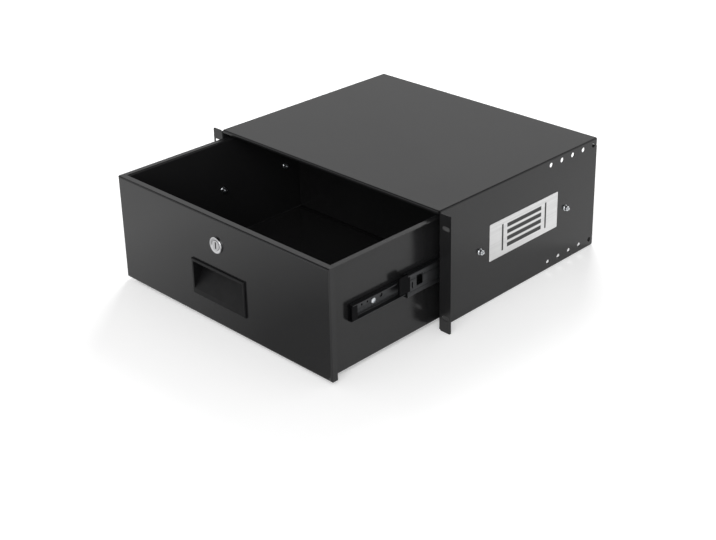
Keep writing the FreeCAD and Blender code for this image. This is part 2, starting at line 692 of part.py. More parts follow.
def middle_member():
    """Middle member, with raceways on both skins and square windows over the screws."""
    member = channel(MIDDLE_WEB, MIDDLE_LIP, MIDDLE_HALF, SLIDE_SHEET, SLIDE_BEND, MIDDLE_Y, SLIDE_LENGTH)
    cuts = []
    for centre in (MIDDLE_Y + WINDOW_LEAD, MIDDLE_Y + SLIDE_LENGTH - WINDOW_LEAD):
        z = SLIDE_Z + WINDOW_RISE
        cuts.append(box(WALL_OUT + MIDDLE_LIP, WALL_OUT + SLIDE_THICKNESS, centre - WINDOW_LENGTH / 2,
                        centre + WINDOW_LENGTH / 2, z - WINDOW_HEIGHT / 2, z + WINDOW_HEIGHT / 2))
    y = MIDDLE_Y + TAB_SLOT_LEAD
    cuts.append(box(WALL_OUT + MIDDLE_LIP, WALL_OUT + SLIDE_THICKNESS, y - TAB_SLOT_WIDTH / 2,
                    y + TAB_SLOT_WIDTH / 2, SLIDE_Z - TAB_SLOT_HEIGHT / 2, SLIDE_Z + TAB_SLOT_HEIGHT / 2))
    cuts += raceways(OUTER_ROW, MIDDLE_Y) + raceways(INNER_ROW, MIDDLE_Y)
    return member.cut(cuts + creases(MIDDLE_WEB, CREASE_RISE, MIDDLE_Y))


def drawer_member():
    member = channel(0, MEMBER_LIP, MEMBER_HALF, SLIDE_SHEET, SLIDE_BEND, INNER_Y, SLIDE_LENGTH)
    holes = [screw_hole(y, WALL_OUT - SHEET) for y in DRAWER_SCREW_YS]
    holes += [web_hole(diameter, INNER_Y + lead, MEMBER_HOLE_RISE) for lead, diameter in MEMBER_HOLES]
    holes.append(web_hole(RIVET + 2 * RUNNING_PLAY, LEVER_Y, 0))
    holes += raceways(INNER_ROW, INNER_Y)
    return member.cut(holes + creases(SLIDE_SHEET, MEMBER_CREASE_RISE, INNER_Y))


def ball_places(cage_y, row):
    middle = cage_y + CAGE_LENGTH / 2
    first = middle - (BALLS_PER_ROW - 1) * BALL_PITCH / 2
    return [V(WALL_OUT + BALL_LINE, first + place * BALL_PITCH, z)
            for z in (SLIDE_Z - row, SLIDE_Z + row) for place in range(BALLS_PER_ROW)]


def ball_cage(web, row, y):
    """Retainer strip between two members, with a square pocket for each ball."""
    strip = channel(web, CAGE_LIP, row + CAGE_SHEET / 2, CAGE_SHEET, CAGE_BEND, y, CAGE_LENGTH)
    half = RACE_RADIUS + RUNNING_PLAY
    return strip.cut([box(place.x - half, place.x + half, place.y - half, place.y + half,
                          place.z - half, place.z + half) for place in ball_places(y, row)])


def ball(place):
    """Ball with few faces: what three crossed hexagonal bars share, as big as the race lets it be."""
    bars = [hexagon(RACE_RADIUS * math.sqrt(3), place - axis * BALL, axis * (2 * BALL))
            for axis in (V(1, 0, 0), V(0, 1, 0), V(0, 0, 1))]
    return bars[0].common(bars[1]).common(bars[2])


def balls(row, y):
    return Part.makeCompound([ball(place) for place in ball_places(y, row)])


def slide_block(u0, u1, y0, y1, w0, w1):
    return box(WALL_OUT + u0, WALL_OUT + u1, y0, y1, SLIDE_Z + w0, SLIDE_Z + w1)


def end_cap():
    """Hollow plastic plug with a flange, in the front end of the drawer member."""
    half = MEMBER_HALF - SLIDE_SHEET - SLIDE_GAP
    base = SLIDE_SHEET + SLIDE_GAP
    flange = slide_block(0, MEMBER_LIP, INNER_Y - CAP_FLANGE, INNER_Y, -MEMBER_HALF, MEMBER_HALF)
    flange = round_edges(flange, CAP_CORNER, lambda edge: edge.BoundBox.YLength > CAP_FLANGE / 2
                         and edge.BoundBox.XMin > WALL_OUT + MEMBER_LIP / 2)
    plug = slide_block(base, MEMBER_LIP, INNER_Y, INNER_Y + CAP_DEPTH, -half, half)
    hollow = slide_block(base + CAP_WALL, MEMBER_LIP - CAP_WALL, INNER_Y - 2 * CAP_FLANGE,
                         INNER_Y + CAP_DEPTH - CAP_WALL, CAP_WALL - half, half - CAP_WALL)
    return flange.fuse(plug).cut(hollow)


def bumper():
    """Plastic stop on the front end of the middle member's web."""
    inner = MEMBER_LIP + SLIDE_GAP
    nose = slide_block(inner, OUTER_CAGE_WEB, MIDDLE_Y - BUMPER_DEPTH, MIDDLE_Y, BUMPER_BASE, BUMPER_TOP)
    nose = round_edges(nose, BUMPER_CORNER, lambda edge: edge.BoundBox.XLength > SLIDE_GAP
                       and edge.BoundBox.YMax < MIDDLE_Y - BUMPER_DEPTH / 2)
    grip = slide_block(inner, OUTER_CAGE_WEB, MIDDLE_Y, MIDDLE_Y + BUMPER_GRIP, BUMPER_BASE, BUMPER_GRIP_TOP)
    web = slide_block(MIDDLE_WEB - SLIDE_SHEET, MIDDLE_WEB, MIDDLE_Y, MIDDLE_Y + BUMPER_GRIP,
                      BUMPER_BASE - SHEET, BUMPER_GRIP_TOP + SHEET)
    return nose.fuse(grip).removeSplitter().cut(web)


def lever_rivet():
    """Rivet through the drawer member's web, with its head over the lever."""
    reach = SLIDE_SHEET + SLIDE_GAP + LEVER_THICKNESS + SLIDE_GAP / 2
    profile = [(0, 0), (RIVET / 2, 0), (RIVET / 2, reach), (RIVET_HEAD / 2, reach),
               (RIVET / 2, reach + RIVET_HEAD_HEIGHT), (0, reach + RIVET_HEAD_HEIGHT)]
    return turned(profile, V(WALL_OUT, LEVER_Y, SLIDE_Z), V(1, 0, 0))


def release_lever():
    """Plastic lever that frees the drawer member: hub, long nose with a finger pad, and tail."""
    y = LEVER_Y
    x = WALL_OUT + SLIDE_SHEET + SLIDE_GAP
    run = V(LEVER_THICKNESS, 0, 0)
    nose = y - LEVER_NOSE + LEVER_TIP / 2
    tail = y + LEVER_TAIL - LEVER_TIP / 2
    waist = LEVER_HUB / 2
    outline = [(nose, SLIDE_Z - LEVER_TIP / 2), (y, SLIDE_Z - waist), (tail, SLIDE_Z - LEVER_TIP / 2),
               (tail, SLIDE_Z + LEVER_TIP / 2), (y, SLIDE_Z + waist), (nose, SLIDE_Z + LEVER_TIP / 2)]
    arm = prism(outline, on_side(x), run)
    ends = [rod(LEVER_TIP, V(x, end, SLIDE_Z), run) for end in (nose, tail)]
    hub = rod(LEVER_HUB, V(x, y, SLIDE_Z), run)
    pad = box(x, x + LEVER_THICKNESS + LEVER_PAD, nose, nose + LEVER_PAD_LENGTH,
              SLIDE_Z - LEVER_TIP / 2, SLIDE_Z + LEVER_TIP / 2)
    bore = rod(RIVET + 2 * RUNNING_PLAY, V(x, y, SLIDE_Z), run)
    return arm.fuse(ends + [hub, pad]).removeSplitter().cut(bore)


# Keys and ring

def key_blade():
    """Blade with a bitted edge, along +X from the hole in the key's head."""
    start = KEY_HEAD_LENGTH - KEY_HOLE_EDGE - KEY_TANG
    end = KEY_HEAD_LENGTH - KEY_HOLE_EDGE + KEY_BLADE_LENGTH
    half = KEY_BLADE_WIDTH / 2
    first = end - half
    points = [(start, -half), (first, -half), (end, -KEY_TIP / 2), (end, KEY_TIP / 2), (first, half)]
    for bit in range(KEY_BIT_COUNT):
        depth = KEY_BIT_DEPTH if bit % 2 else KEY_SHALLOW_BIT
        points.append((first - (bit + 1 / 2) * KEY_BIT_PITCH, half - depth))
        points.append((first - (bit + 1) * KEY_BIT_PITCH, half))
    points.append((start, half))
    base = V(0, 0, -KEY_BLADE_THICKNESS / 2)
    return prism(points, lambda along, aside: base + V(along, aside, 0), V(0, 0, KEY_BLADE_THICKNESS))


def key_head():
    half = KEY_HEAD_THICKNESS / 2
    width = KEY_HEAD_WIDTH / 2
    head = box(-KEY_HOLE_EDGE, KEY_HEAD_LENGTH - KEY_HOLE_EDGE, -width, width, -half, half)
    head = round_edges(head, KEY_HEAD_ROUND, lambda edge: edge.BoundBox.ZLength > half
                       and edge.BoundBox.XMax < 0)
    return head.cut([rod(KEY_HOLE, V(0, 0, -half), V(0, 0, 2 * half)), key_blade()])


def ring_centre():
    rise = RING_DIAMETER / 2 * math.sin(math.radians(RING_LEAN))
    return V(RING_X, FACE_FRONT + RING_SETBACK, FLOOR + LAY_GAP + RING_WIRE / 2 + rise)


def key_ring():
    radius = RING_WIRE / 2
    section = [(RING_DIAMETER / 2 + radius * math.cos(turn * math.pi / 3), radius * math.sin(turn * math.pi / 3))
               for turn in range(6)]
    ring = turned(section, V(0, 0, 0), V(0, 0, 1))
    ring.Placement = FreeCAD.Placement(ring_centre(), FreeCAD.Rotation(V(0, 1, 0), -RING_LEAN))
    return ring


def key_places():
    """One place on the ring for each key, which points back and down to the drawer floor."""
    lean = math.radians(RING_LEAN)
    radius = RING_DIAMETER / 2
    places = []
    for side in (1, -1):
        turn = math.radians(side * RING_SPREAD)
        hole = ring_centre() + V(radius * math.sin(turn) * math.cos(lean), radius * math.cos(turn),
                                 radius * math.sin(turn) * math.sin(lean))
        length = KEY_HEAD_LENGTH - KEY_HOLE_EDGE + KEY_BLADE_LENGTH
        pitch = math.degrees(math.asin((hole.z - FLOOR - LAY_GAP - KEY_BLADE_THICKNESS / 2) / length))
        heading = FreeCAD.Rotation(V(0, 0, 1), 90 - side * KEY_FAN)
        places.append(FreeCAD.Placement(hole, heading.multiply(FreeCAD.Rotation(V(0, 1, 0), pitch))))
    return places


def at_keys(make):
    solids = []
    for place in key_places():
        solid = make()
        solid.Placement = place.multiply(solid.Placement)
        solids.append(solid)
    return Part.makeCompound(solids)


# Assembly

def add_pair(nodes, name, solid):
    nodes["right_" + name] = solid
    nodes["left_" + name] = other_side(solid)


def build():
    nodes = {
        "chassis_shell": chassis_shell(),
        "lock_strike": lock_strike(),
        "size_plate": size_plate(),
        "drawer_face": drawer_face(),
        "drawer_tray": drawer_tray(),
        "drawer_back": drawer_back(),
        "pull_cup": pull_cup(),
        "lock_housing": lock_housing(),
        "lock_washer": lock_washer(),
        "lock_nut": lock_nut(),
        "lock_plug": lock_plug(),
        "lock_cam": lock_cam(),
        "cam_screw": cam_screw(),
        "key_blades": at_keys(key_blade),
        "key_heads": at_keys(key_head),
        "key_ring": key_ring(),
    }
    groups = {
        "chassis_screws": [countersunk_screw(y) for y in CHASSIS_SCREW_YS],
        "chassis_nuts": [flange_nut(V(SIDE, y, SLIDE_Z), V(1, 0, 0)) for y in CHASSIS_SCREW_YS],
        "drawer_screws": [pan_screw(y) for y in DRAWER_SCREW_YS],
        "drawer_nuts": [flange_nut(V(WALL_IN, y, SLIDE_Z), V(-1, 0, 0)) for y in DRAWER_SCREW_YS],
        "lever_rivets": [lever_rivet()],
    }
    for name, solids in groups.items():
        nodes[name] = Part.makeCompound(both_sides(solids))
    add_pair(nodes, "outer_slide", outer_member())
    add_pair(nodes, "middle_slide", middle_member())
    add_pair(nodes, "drawer_slide", drawer_member())
    add_pair(nodes, "outer_cage", ball_cage(OUTER_CAGE_WEB, OUTER_ROW, OUTER_CAGE_Y))
    add_pair(nodes, "inner_cage", ball_cage(INNER_CAGE_WEB, INNER_ROW, INNER_CAGE_Y))
    add_pair(nodes, "outer_balls", balls(OUTER_ROW, OUTER_CAGE_Y))
    add_pair(nodes, "inner_balls", balls(INNER_ROW, INNER_CAGE_Y))
    add_pair(nodes, "end_cap", end_cap())
    add_pair(nodes, "slide_bumper", bumper())
    add_pair(nodes, "release_lever", release_lever())
    return nodes


os.makedirs("parts", exist_ok=True)
for node, shape in build().items():
    shape.exportStep("parts/" + node + ".step")
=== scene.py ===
"""Sliding rack drawer: finishes, fasteners, lock, keys and studio on the CAD frame."""

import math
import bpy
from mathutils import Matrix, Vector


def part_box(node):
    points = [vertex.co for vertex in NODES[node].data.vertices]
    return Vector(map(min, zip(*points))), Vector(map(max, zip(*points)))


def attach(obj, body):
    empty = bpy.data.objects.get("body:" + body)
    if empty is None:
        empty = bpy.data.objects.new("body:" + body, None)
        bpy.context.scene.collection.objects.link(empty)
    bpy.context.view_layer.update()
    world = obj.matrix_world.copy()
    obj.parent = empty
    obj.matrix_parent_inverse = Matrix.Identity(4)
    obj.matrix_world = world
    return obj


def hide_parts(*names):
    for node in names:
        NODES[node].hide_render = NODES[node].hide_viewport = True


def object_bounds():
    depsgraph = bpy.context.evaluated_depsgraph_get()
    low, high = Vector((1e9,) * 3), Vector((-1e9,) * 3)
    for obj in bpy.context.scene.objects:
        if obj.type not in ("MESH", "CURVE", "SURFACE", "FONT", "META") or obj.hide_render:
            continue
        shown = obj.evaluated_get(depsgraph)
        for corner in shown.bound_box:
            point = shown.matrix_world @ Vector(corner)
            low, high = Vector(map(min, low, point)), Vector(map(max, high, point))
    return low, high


bl_info = {
    "name": "Sliding Rack Drawer",
    "version": (1, 0, 0),
    "blender": (4, 5, 0),
    "location": "View3D > Sidebar > Rack Drawer",
    "description": "Dresses the sliding rack drawer with its finishes and small parts",
    "category": "Object",
}

import bmesh
import bpy
from mathutils import Matrix, Vector

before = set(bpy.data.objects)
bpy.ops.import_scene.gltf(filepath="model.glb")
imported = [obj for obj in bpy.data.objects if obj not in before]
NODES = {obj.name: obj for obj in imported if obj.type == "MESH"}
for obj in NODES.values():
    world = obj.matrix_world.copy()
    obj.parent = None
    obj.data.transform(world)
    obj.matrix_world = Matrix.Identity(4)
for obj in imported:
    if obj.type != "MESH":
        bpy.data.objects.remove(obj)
CAD_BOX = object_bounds()

SLIDE_SIDES = ("right", "left")
SHARP_ANGLE = math.radians(35)
FLAT_ANGLE = math.radians(1)
MERGE_DISTANCE = 1e-6
MILLIMETRE = 0.001
WHITE = (1.0, 1.0, 1.0, 1.0)


# Reading the CAD frame

def merged_copy(node_name):
    """The mesh of one CAD node with its loose triangles joined."""
    joined = bmesh.new()
    joined.from_mesh(NODES[node_name].data)
    bmesh.ops.remove_doubles(joined, verts=joined.verts, dist=MERGE_DISTANCE)
    return joined


def solid_boxes(node_name):
    """Low and high corner of each separate solid in one CAD node, from left to right."""
    joined = merged_copy(node_name)
    unseen = set(joined.verts)
    boxes = []
    while unseen:
        reached = [unseen.pop()]
        places = []
        while reached:
            vert = reached.pop()
            places.append(vert.co.copy())
            near = {edge.other_vert(vert) for edge in vert.link_edges} & unseen
            unseen -= near
            reached.extend(near)
        low = Vector(min(place[axis] for place in places) for axis in range(3))
        high = Vector(max(place[axis] for place in places) for axis in range(3))
        boxes.append((low, high))
    joined.free()
    return sorted(boxes, key=lambda pair: tuple(pair[0]))


def node_size(node_name):
    """Size of the rightmost solid in one CAD node."""
    low, high = solid_boxes(node_name)[-1]
    return high - low


def axis_places(node_name, from_inner_end):
    """Place and turn of each fastener, from its inner end outwards or from its outer end inwards."""
    places = []
    for low, high in solid_boxes(node_name):
        centre = (low + high) / 2
        to_the_right = (centre.x > 0) == from_inner_end
        start = low.x if to_the_right else high.x
        places.append(((start, centre.y, centre.z), 0.0 if to_the_right else math.pi))
    return places


# Pieces

def smooth_mesh(mesh):
    mesh.shade_smooth()
    mesh.set_sharp_from_angle(angle=SHARP_ANGLE)
    return mesh


def add_piece(name, mesh, body, replaced=()):
    """Puts a finished mesh in the scene and ties it to the body that it moves with."""
    made = bpy.data.objects.new(name, mesh)
    bpy.context.scene.collection.objects.link(made)
    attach(made, body)
    if replaced:
        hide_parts(*replaced)
    return made


def mesh_from(built, name, material):
    """Turns a bmesh into a mesh with its normals outwards and one material."""
    bmesh.ops.recalc_face_normals(built, faces=built.faces)
    mesh = bpy.data.meshes.new(name)
    built.to_mesh(mesh)
    built.free()
    mesh.materials.append(material)
    return smooth_mesh(mesh)


def finish_nodes(finish_name, *node_names):
    """Gives CAD nodes a finish in place of their plain colour."""
    for node_name in node_names:
        for slot in NODES[node_name].material_slots:
            slot.material = finish_named(finish_name)


def lathe(built, profile, segments, place):
    """Closed ring of faces: profile gives radius and distance back, around a Y axis through place."""
    rings = []
    for radius, back in profile:
        ring = []
        for step in range(segments):
            turn = step * math.tau / segments
            offset = Vector((radius * math.cos(turn), back, radius * math.sin(turn)))
            ring.append(built.verts.new(place + offset))
        rings.append(ring)
    for ring, after in zip(rings, rings[1:] + rings[:1]):
        for step in range(segments):
            near = (step + 1) % segments
            built.faces.new((ring[step], ring[near], after[near], after[step]))


def arc_points(centre, radius, start, end, steps):
    """Points on an arc, each a radius and a distance back."""
    turns = [start + (end - start) * step / steps for step in range(steps + 1)]
    return [(centre[0] + radius * math.cos(turn), centre[1] + radius * math.sin(turn)) for turn in turns]


# Node trees

FLOAT = "NodeSocketFloat"
VECTOR = "NodeSocketVector"
GEOMETRY = "NodeSocketGeometry"
MATERIAL = "NodeSocketMaterial"
SOCKETS_BY_VALUE = {float: FLOAT, tuple: VECTOR, int: "NodeSocketInt"}


class Wiring:
    """Adds nodes to one tree. Each input is a value, or a socket that is linked to it."""

    COLUMN = 210
    MIX_FACTOR = 0
    MIX_LOW_COLOUR = 6
    MIX_HIGH_COLOUR = 7
    MIX_RESULT_COLOUR = 2

    def __init__(self, tree):
        self.tree = tree
        self.count = 0

    def add(self, kind, inputs=None, **settings):
        node = self.tree.nodes.new(kind)
        node.location = (self.COLUMN * self.count, 0)
        self.count += 1
        for name, setting in settings.items():
            setattr(node, name, setting)
        for key, given in (inputs or {}).items():
            if isinstance(given, bpy.types.NodeSocket):
                self.tree.links.new(given, node.inputs[key])
            else:
                node.inputs[key].default_value = given
        return node

    def gather(self, node, key, sockets):
        """Links several sockets, in their order, to an input that takes more than one."""
        for socket in sockets:
            self.tree.links.new(socket, node.inputs[key])

    def math(self, operation, *values):
        return self.add("ShaderNodeMath", dict(enumerate(values)), operation=operation).outputs[0]

    def half(self, value):
        return self.math("DIVIDE", value, 2.0)

    def vector(self, x, y, z):
        return self.add("ShaderNodeCombineXYZ", {"X": x, "Y": y, "Z": z}).outputs[0]

    def spread(self, value, low, high, start=0.0, end=1.0):
        """Turns what runs from start to end into what runs from low to high."""
        inputs = {"Value": value, "From Min": start, "From Max": end, "To Min": low, "To Max": high}
        return self.add("ShaderNodeMapRange", inputs).outputs["Result"]

    def tint(self, factor, low, high):
        inputs = {self.MIX_FACTOR: factor, self.MIX_LOW_COLOUR: low, self.MIX_HIGH_COLOUR: high}
        return self.add("ShaderNodeMix", inputs, data_type="RGBA").outputs[self.MIX_RESULT_COLOUR]

    def noise(self, place, size, detail, fineness=1.0, distortion=0.0):
        """Noise whose features are about as wide as the size, or wider where it is less fine."""
        scale = self.math("DIVIDE", fineness, size)
        inputs = {"Vector": place, "Scale": scale, "Detail": detail, "Distortion": distortion}
        return self.add("ShaderNodeTexNoise", inputs).outputs["Fac"]


def new_tree(name, kind, inputs, outputs):
    """Node group with named sockets. An input has a default, or a socket type where it has none."""
    tree = bpy.data.node_groups.new(name, kind)
    for socket_name, given in inputs.items():
        plain = SOCKETS_BY_VALUE.get(type(given))
        socket = tree.interface.new_socket(name=socket_name, in_out="INPUT", socket_type=plain or given)
        if plain:
            socket.default_value = given
    for socket_name, socket_type in outputs.items():
        tree.interface.new_socket(name=socket_name, in_out="OUTPUT", socket_type=socket_type)
    wiring = Wiring(tree)
    return wiring, wiring.add("NodeGroupInput").outputs


# Shader groups

def coat_grain_group(name):
    """Orange peel of a sprayed or moulded skin, with slow changes of tone."""
    wiring, given = new_tree(name, "ShaderNodeTree", {"Vector": VECTOR, "Grain": 0.001, "Cloud": 0.12},
                             {"Height": FLOAT, "Tone": FLOAT, "Speck": FLOAT})
    speck_fineness = 0.4
    height = wiring.noise(given["Vector"], given["Grain"], detail=3.0)
    tone = wiring.noise(given["Vector"], given["Cloud"], detail=2.0)
    scale = wiring.math("DIVIDE", speck_fineness, given["Grain"])
    cells = wiring.add("ShaderNodeTexVoronoi", {"Vector": given["Vector"], "Scale": scale})
    speck = wiring.spread(cells.outputs["Distance"], low=1.0, high=0.0, start=0.05, end=0.16)
    wiring.add("NodeGroupOutput", {"Height": height, "Tone": tone, "Speck": speck})


def drawn_lines_group(name):
    """Fine lines that brushing or rolling leaves, stretched along one axis."""
    wiring, given = new_tree(name, "ShaderNodeTree",
                             {"Vector": VECTOR, "Line": 0.0002, "Stretch": (1.0, 0.02, 1.0)},
                             {"Height": FLOAT, "Tone": FLOAT})
    stretched = wiring.add("ShaderNodeVectorMath", {0: given["Vector"], 1: given["Stretch"]},
                           operation="MULTIPLY").outputs[0]
    height = wiring.noise(stretched, given["Line"], detail=4.0)
    tone = wiring.noise(stretched, given["Line"], detail=2.0, fineness=0.12)
    wiring.add("NodeGroupOutput", {"Height": height, "Tone": tone})


def handling_marks_group(name):
    """Soft smudges and thin scratches of a part that is handled."""
    wiring, given = new_tree(name, "ShaderNodeTree", {"Vector": VECTOR, "Smudge": 0.03, "Scratch": 0.004},
                             {"Smudges": FLOAT, "Scratches": FLOAT})
    cloud = wiring.noise(given["Vector"], given["Smudge"], detail=5.0, distortion=0.6)
    smudges = wiring.spread(cloud, low=0.0, high=1.0, start=0.45, end=0.75)
    wave = wiring.noise(given["Vector"], given["Scratch"], detail=1.0, distortion=2.5)
    from_middle = wiring.math("ABSOLUTE", wiring.math("SUBTRACT", wave, 0.5))
    scratches = wiring.spread(from_middle, low=1.0, high=0.0, start=0.0, end=0.012)
    wiring.add("NodeGroupOutput", {"Smudges": smudges, "Scratches": scratches})


# Finishes

def shade(colour, factor):
    return (colour[0] * factor, colour[1] * factor, colour[2] * factor, 1.0)


class Surface(Wiring):
    """Wiring of a new material, with the coordinates of the piece that it is on."""

    def __init__(self, name):
        self.material = bpy.data.materials.new(name)
        self.material.use_nodes = True
        self.material.node_tree.nodes.clear()
        super().__init__(self.material.node_tree)
        self.place = self.add("ShaderNodeTexCoord").outputs["Object"]

    def group(self, group_name, **inputs):
        """Outputs of a shader group that reads the piece's coordinates."""
        tree = bpy.data.node_groups[group_name]
        return self.add("ShaderNodeGroup", {"Vector": self.place, **inputs}, node_tree=tree).outputs

    def tones(self, factor, colour, low, high):
        """A colour times low where the factor is 0, and times high where it is 1."""
        return self.tint(factor, shade(colour, low), shade(colour, high))

    def marked(self, value, marks, amount):
        """Adds an amount to a value where the marks are."""
        return self.math("ADD", value, self.math("MULTIPLY", marks, amount))

    def coat(self, colour, roughness, levels, height=None, depth=0.0):
        """Ends the material in one Principled surface, bumped by height where it is given."""
        inputs = {"Base Color": colour, "Roughness": roughness, **levels}
        skin = self.add("ShaderNodeBsdfPrincipled", inputs)
        if height is not None:
            bump = self.add("ShaderNodeBump", {"Height": height, "Distance": depth})
            self.tree.links.new(bump.outputs["Normal"], skin.inputs["Normal"])
        self.end(skin.outputs[0])

    def glow(self, strength):
        return self.add("ShaderNodeEmission", {"Color": WHITE, "Strength": strength}).outputs[0]

    def end(self, shader):
        self.add("ShaderNodeOutputMaterial", {"Surface": shader})


def powder_coat(surface, finish):
    """Satin black powder coat on folded steel, with pale specks."""
    speck_strength = 0.35
    speck_tone = 2.0
    smudge_dulling = 0.03
    grain = surface.group("Coat Grain", Grain=finish.coat_grain)
    marks = surface.group("Handling Marks", Smudge=0.09, Scratch=0.02)
    clouded = surface.tones(grain["Tone"], finish.coat_colour, low=0.85, high=1.15)
    specks = surface.math("MULTIPLY", grain["Speck"], speck_strength)
    colour = surface.tint(specks, clouded, shade(finish.coat_colour, speck_tone))
    smudged = surface.spread(marks["Smudges"], low=finish.coat_roughness,
                             high=finish.coat_roughness + smudge_dulling)
    rough = surface.math("ADD", surface.spread(grain["Tone"], low=-0.02, high=0.02), smudged)
    surface.coat(colour, rough, {"Specular IOR Level": finish.coat_gloss}, grain["Height"],
                 depth=finish.coat_depth)


def rolled_steel(surface, finish):
    """Rolled steel of the slides under a thin black coat, with bright wear in the drawing direction."""
    lines = surface.group("Drawn Lines", Line=0.0004)
    grain = surface.group("Coat Grain", Grain=0.0006, Cloud=0.05)
    colour = surface.tones(lines["Tone"], finish.slide_colour, low=0.45, high=1.7)
    rough = surface.spread(grain["Tone"], low=0.34, high=0.48)
    surface.coat(colour, rough, {"Metallic": 0.9}, lines["Height"], depth=0.00002)


def zinc_plate(surface, finish):
    """Bright zinc on screws, nuts and small steel parts, with its slight cloudiness."""
    grain = surface.group("Coat Grain", Grain=0.0005, Cloud=0.004)
    marks = surface.group("Handling Marks", Smudge=0.006, Scratch=0.003)
    colour = surface.tones(grain["Tone"], finish.zinc_colour, low=0.85, high=1.05)
    smudged = surface.spread(marks["Smudges"], low=0.28, high=0.4)
    rough = surface.marked(smudged, marks["Scratches"], amount=0.1)
    surface.coat(colour, rough, {"Metallic": 1.0}, grain["Height"], depth=0.000015)


def hardened_steel(surface, finish):
    """Polished hard steel with thin grease smudges."""
    marks = surface.group("Handling Marks", Smudge=0.002, Scratch=0.001)
    colour = surface.tones(marks["Smudges"], finish.zinc_colour, low=1.05, high=0.75)
    rough = surface.spread(marks["Smudges"], low=0.08, high=0.25)
    surface.coat(colour, rough, {"Metallic": 1.0})


def brushed_aluminium(surface, finish):
    """Brushed aluminium of the size plate, with its lines along the depth."""
    lines = surface.group("Drawn Lines", Line=0.0003)
    colour = surface.tones(lines["Tone"], finish.plate_colour, low=0.8, high=1.12)
    rough = surface.spread(lines["Height"], low=0.3, high=0.42)
    surface.coat(colour, rough, {"Metallic": 1.0}, lines["Height"], depth=0.00001)


def plate_ink(surface, finish):
    """Black print on the size plate."""
    grain = surface.group("Coat Grain", Grain=0.0004, Cloud=0.01)
    colour = surface.tones(grain["Tone"], finish.coat_colour, low=0.6, high=1.0)
    rough = surface.spread(grain["Tone"], low=0.45, high=0.6)
    surface.coat(colour, rough, {}, grain["Height"], depth=0.00001)


def polished_chrome(surface, finish):
    """Polished chrome of the lock, with faint swirls and fingerprints."""
    marks = surface.group("Handling Marks", Smudge=0.008, Scratch=0.002)
    lines = surface.group("Drawn Lines", Line=0.0003, Stretch=(1.0, 1.0, 0.1))
    colour = surface.tones(marks["Smudges"], finish.chrome_colour, low=1.0, high=0.9)
    smudged = surface.spread(marks["Smudges"], low=0.07, high=0.18)
    rough = surface.marked(smudged, marks["Scratches"], amount=0.12)
    surface.coat(colour, rough, {"Metallic": 1.0}, lines["Height"], depth=0.000004)


def moulded_plastic(surface, finish, gloss_level):
    """Black moulded plastic with a fine spark-eroded grain, polished where it is handled."""
    grain = surface.group("Coat Grain", Grain=0.0005, Cloud=0.03)
    marks = surface.group("Handling Marks", Smudge=0.02, Scratch=0.01)
    colour = surface.tones(grain["Tone"], finish.plastic_colour, low=0.8, high=1.2)
    clouded = surface.spread(grain["Tone"], low=0.5, high=0.58)
    rough = surface.marked(clouded, marks["Smudges"], amount=-0.12)
    surface.coat(colour, rough, {"Specular IOR Level": gloss_level}, grain["Height"], depth=0.00003)


def dull_plastic(surface, finish):
    """Dull plastic of the slides' end pieces and levers."""
    moulded_plastic(surface, finish, finish.plastic_gloss)


def satin_plastic(surface, finish):
    """Satin plastic of the pull and the key heads."""
    moulded_plastic(surface, finish, finish.pull_gloss)


FINISHES = {make.__name__: make for make in (
    powder_coat, rolled_steel, zinc_plate, hardened_steel, brushed_aluminium, plate_ink, polished_chrome,
    dull_plastic, satin_plastic)}


def finish_named(name):
    """The named finish, made when it is first asked for. No finish has the name of a CAD slot."""
    if name not in bpy.data.materials:
        FINISHES[name](Surface(name), bpy.context.scene.rack_drawer.finish)
    return bpy.data.materials[name]


# Geometry trees

NUT_SIDES = 6
NUT_TOP_SHARE = 0.49
CHAMFER_SIDES = 48
CHAMFER_SLOPE = math.sqrt(3)
FLANGE_SIDES = 40
FLANGE_SLOPE = 0.8
BORE_SIDES = 32
BORE_REACH = 3.0
CORE_SIDES = 24
THREAD_STEPS = 18
TOOTH_SIDES = 4
TOOTH_SHARE = 0.36
HEAD_SIDES = 40
DOME_SEGMENTS = 64
DOME_RINGS = 48
RECESS_WIDTH_SHARE = 0.13
RECESS_REACH_SHARE = 0.55
RECESS_DEPTH_SHARE = 0.55
BALL_SEGMENTS = 32
BALL_RINGS = 16


def new_shape_tree(name, inputs):
    return new_tree(name, "GeometryNodeTree", inputs, {"Geometry": GEOMETRY})


def new_part_tree(name, sizes):
    """Tree that grows one kind of part of one material at each of the points that it is given."""
    return new_shape_tree(name, {"Geometry": GEOMETRY, **sizes, "Material": MATERIAL})


def cylinder(wiring, sides, radius, depth):
    inputs = {"Vertices": sides, "Radius": radius, "Depth": depth}
    return wiring.add("GeometryNodeMeshCylinder", inputs).outputs["Mesh"]


def cone(wiring, sides, top, bottom, depth):
    inputs = {"Vertices": sides, "Radius Top": top, "Radius Bottom": bottom, "Depth": depth}
    return wiring.add("GeometryNodeMeshCone", inputs).outputs["Mesh"]


def sphere(wiring, segments, rings, radius):
    inputs = {"Segments": segments, "Rings": rings, "Radius": radius}
    return wiring.add("GeometryNodeMeshUVSphere", inputs).outputs["Mesh"]


def cuboid(wiring, x, y, z):
    return wiring.add("GeometryNodeMeshCube", {"Size": wiring.vector(x, y, z)}).outputs["Mesh"]


def raised(wiring, mesh, height):
    inputs = {"Geometry": mesh, "Translation": wiring.vector(0.0, 0.0, height)}
    return wiring.add("GeometryNodeTransform", inputs).outputs[0]


def both(wiring, *meshes):
    node = wiring.add("GeometryNodeJoinGeometry")
    wiring.gather(node, "Geometry", meshes)
    return node.outputs[0]


def merged(wiring, operation, *meshes):
    """One body of several meshes, or what they share."""
    node = wiring.add("GeometryNodeMeshBoolean", operation=operation, solver="EXACT")
    wiring.gather(node, "Mesh 2", meshes)
    return node.outputs["Mesh"]


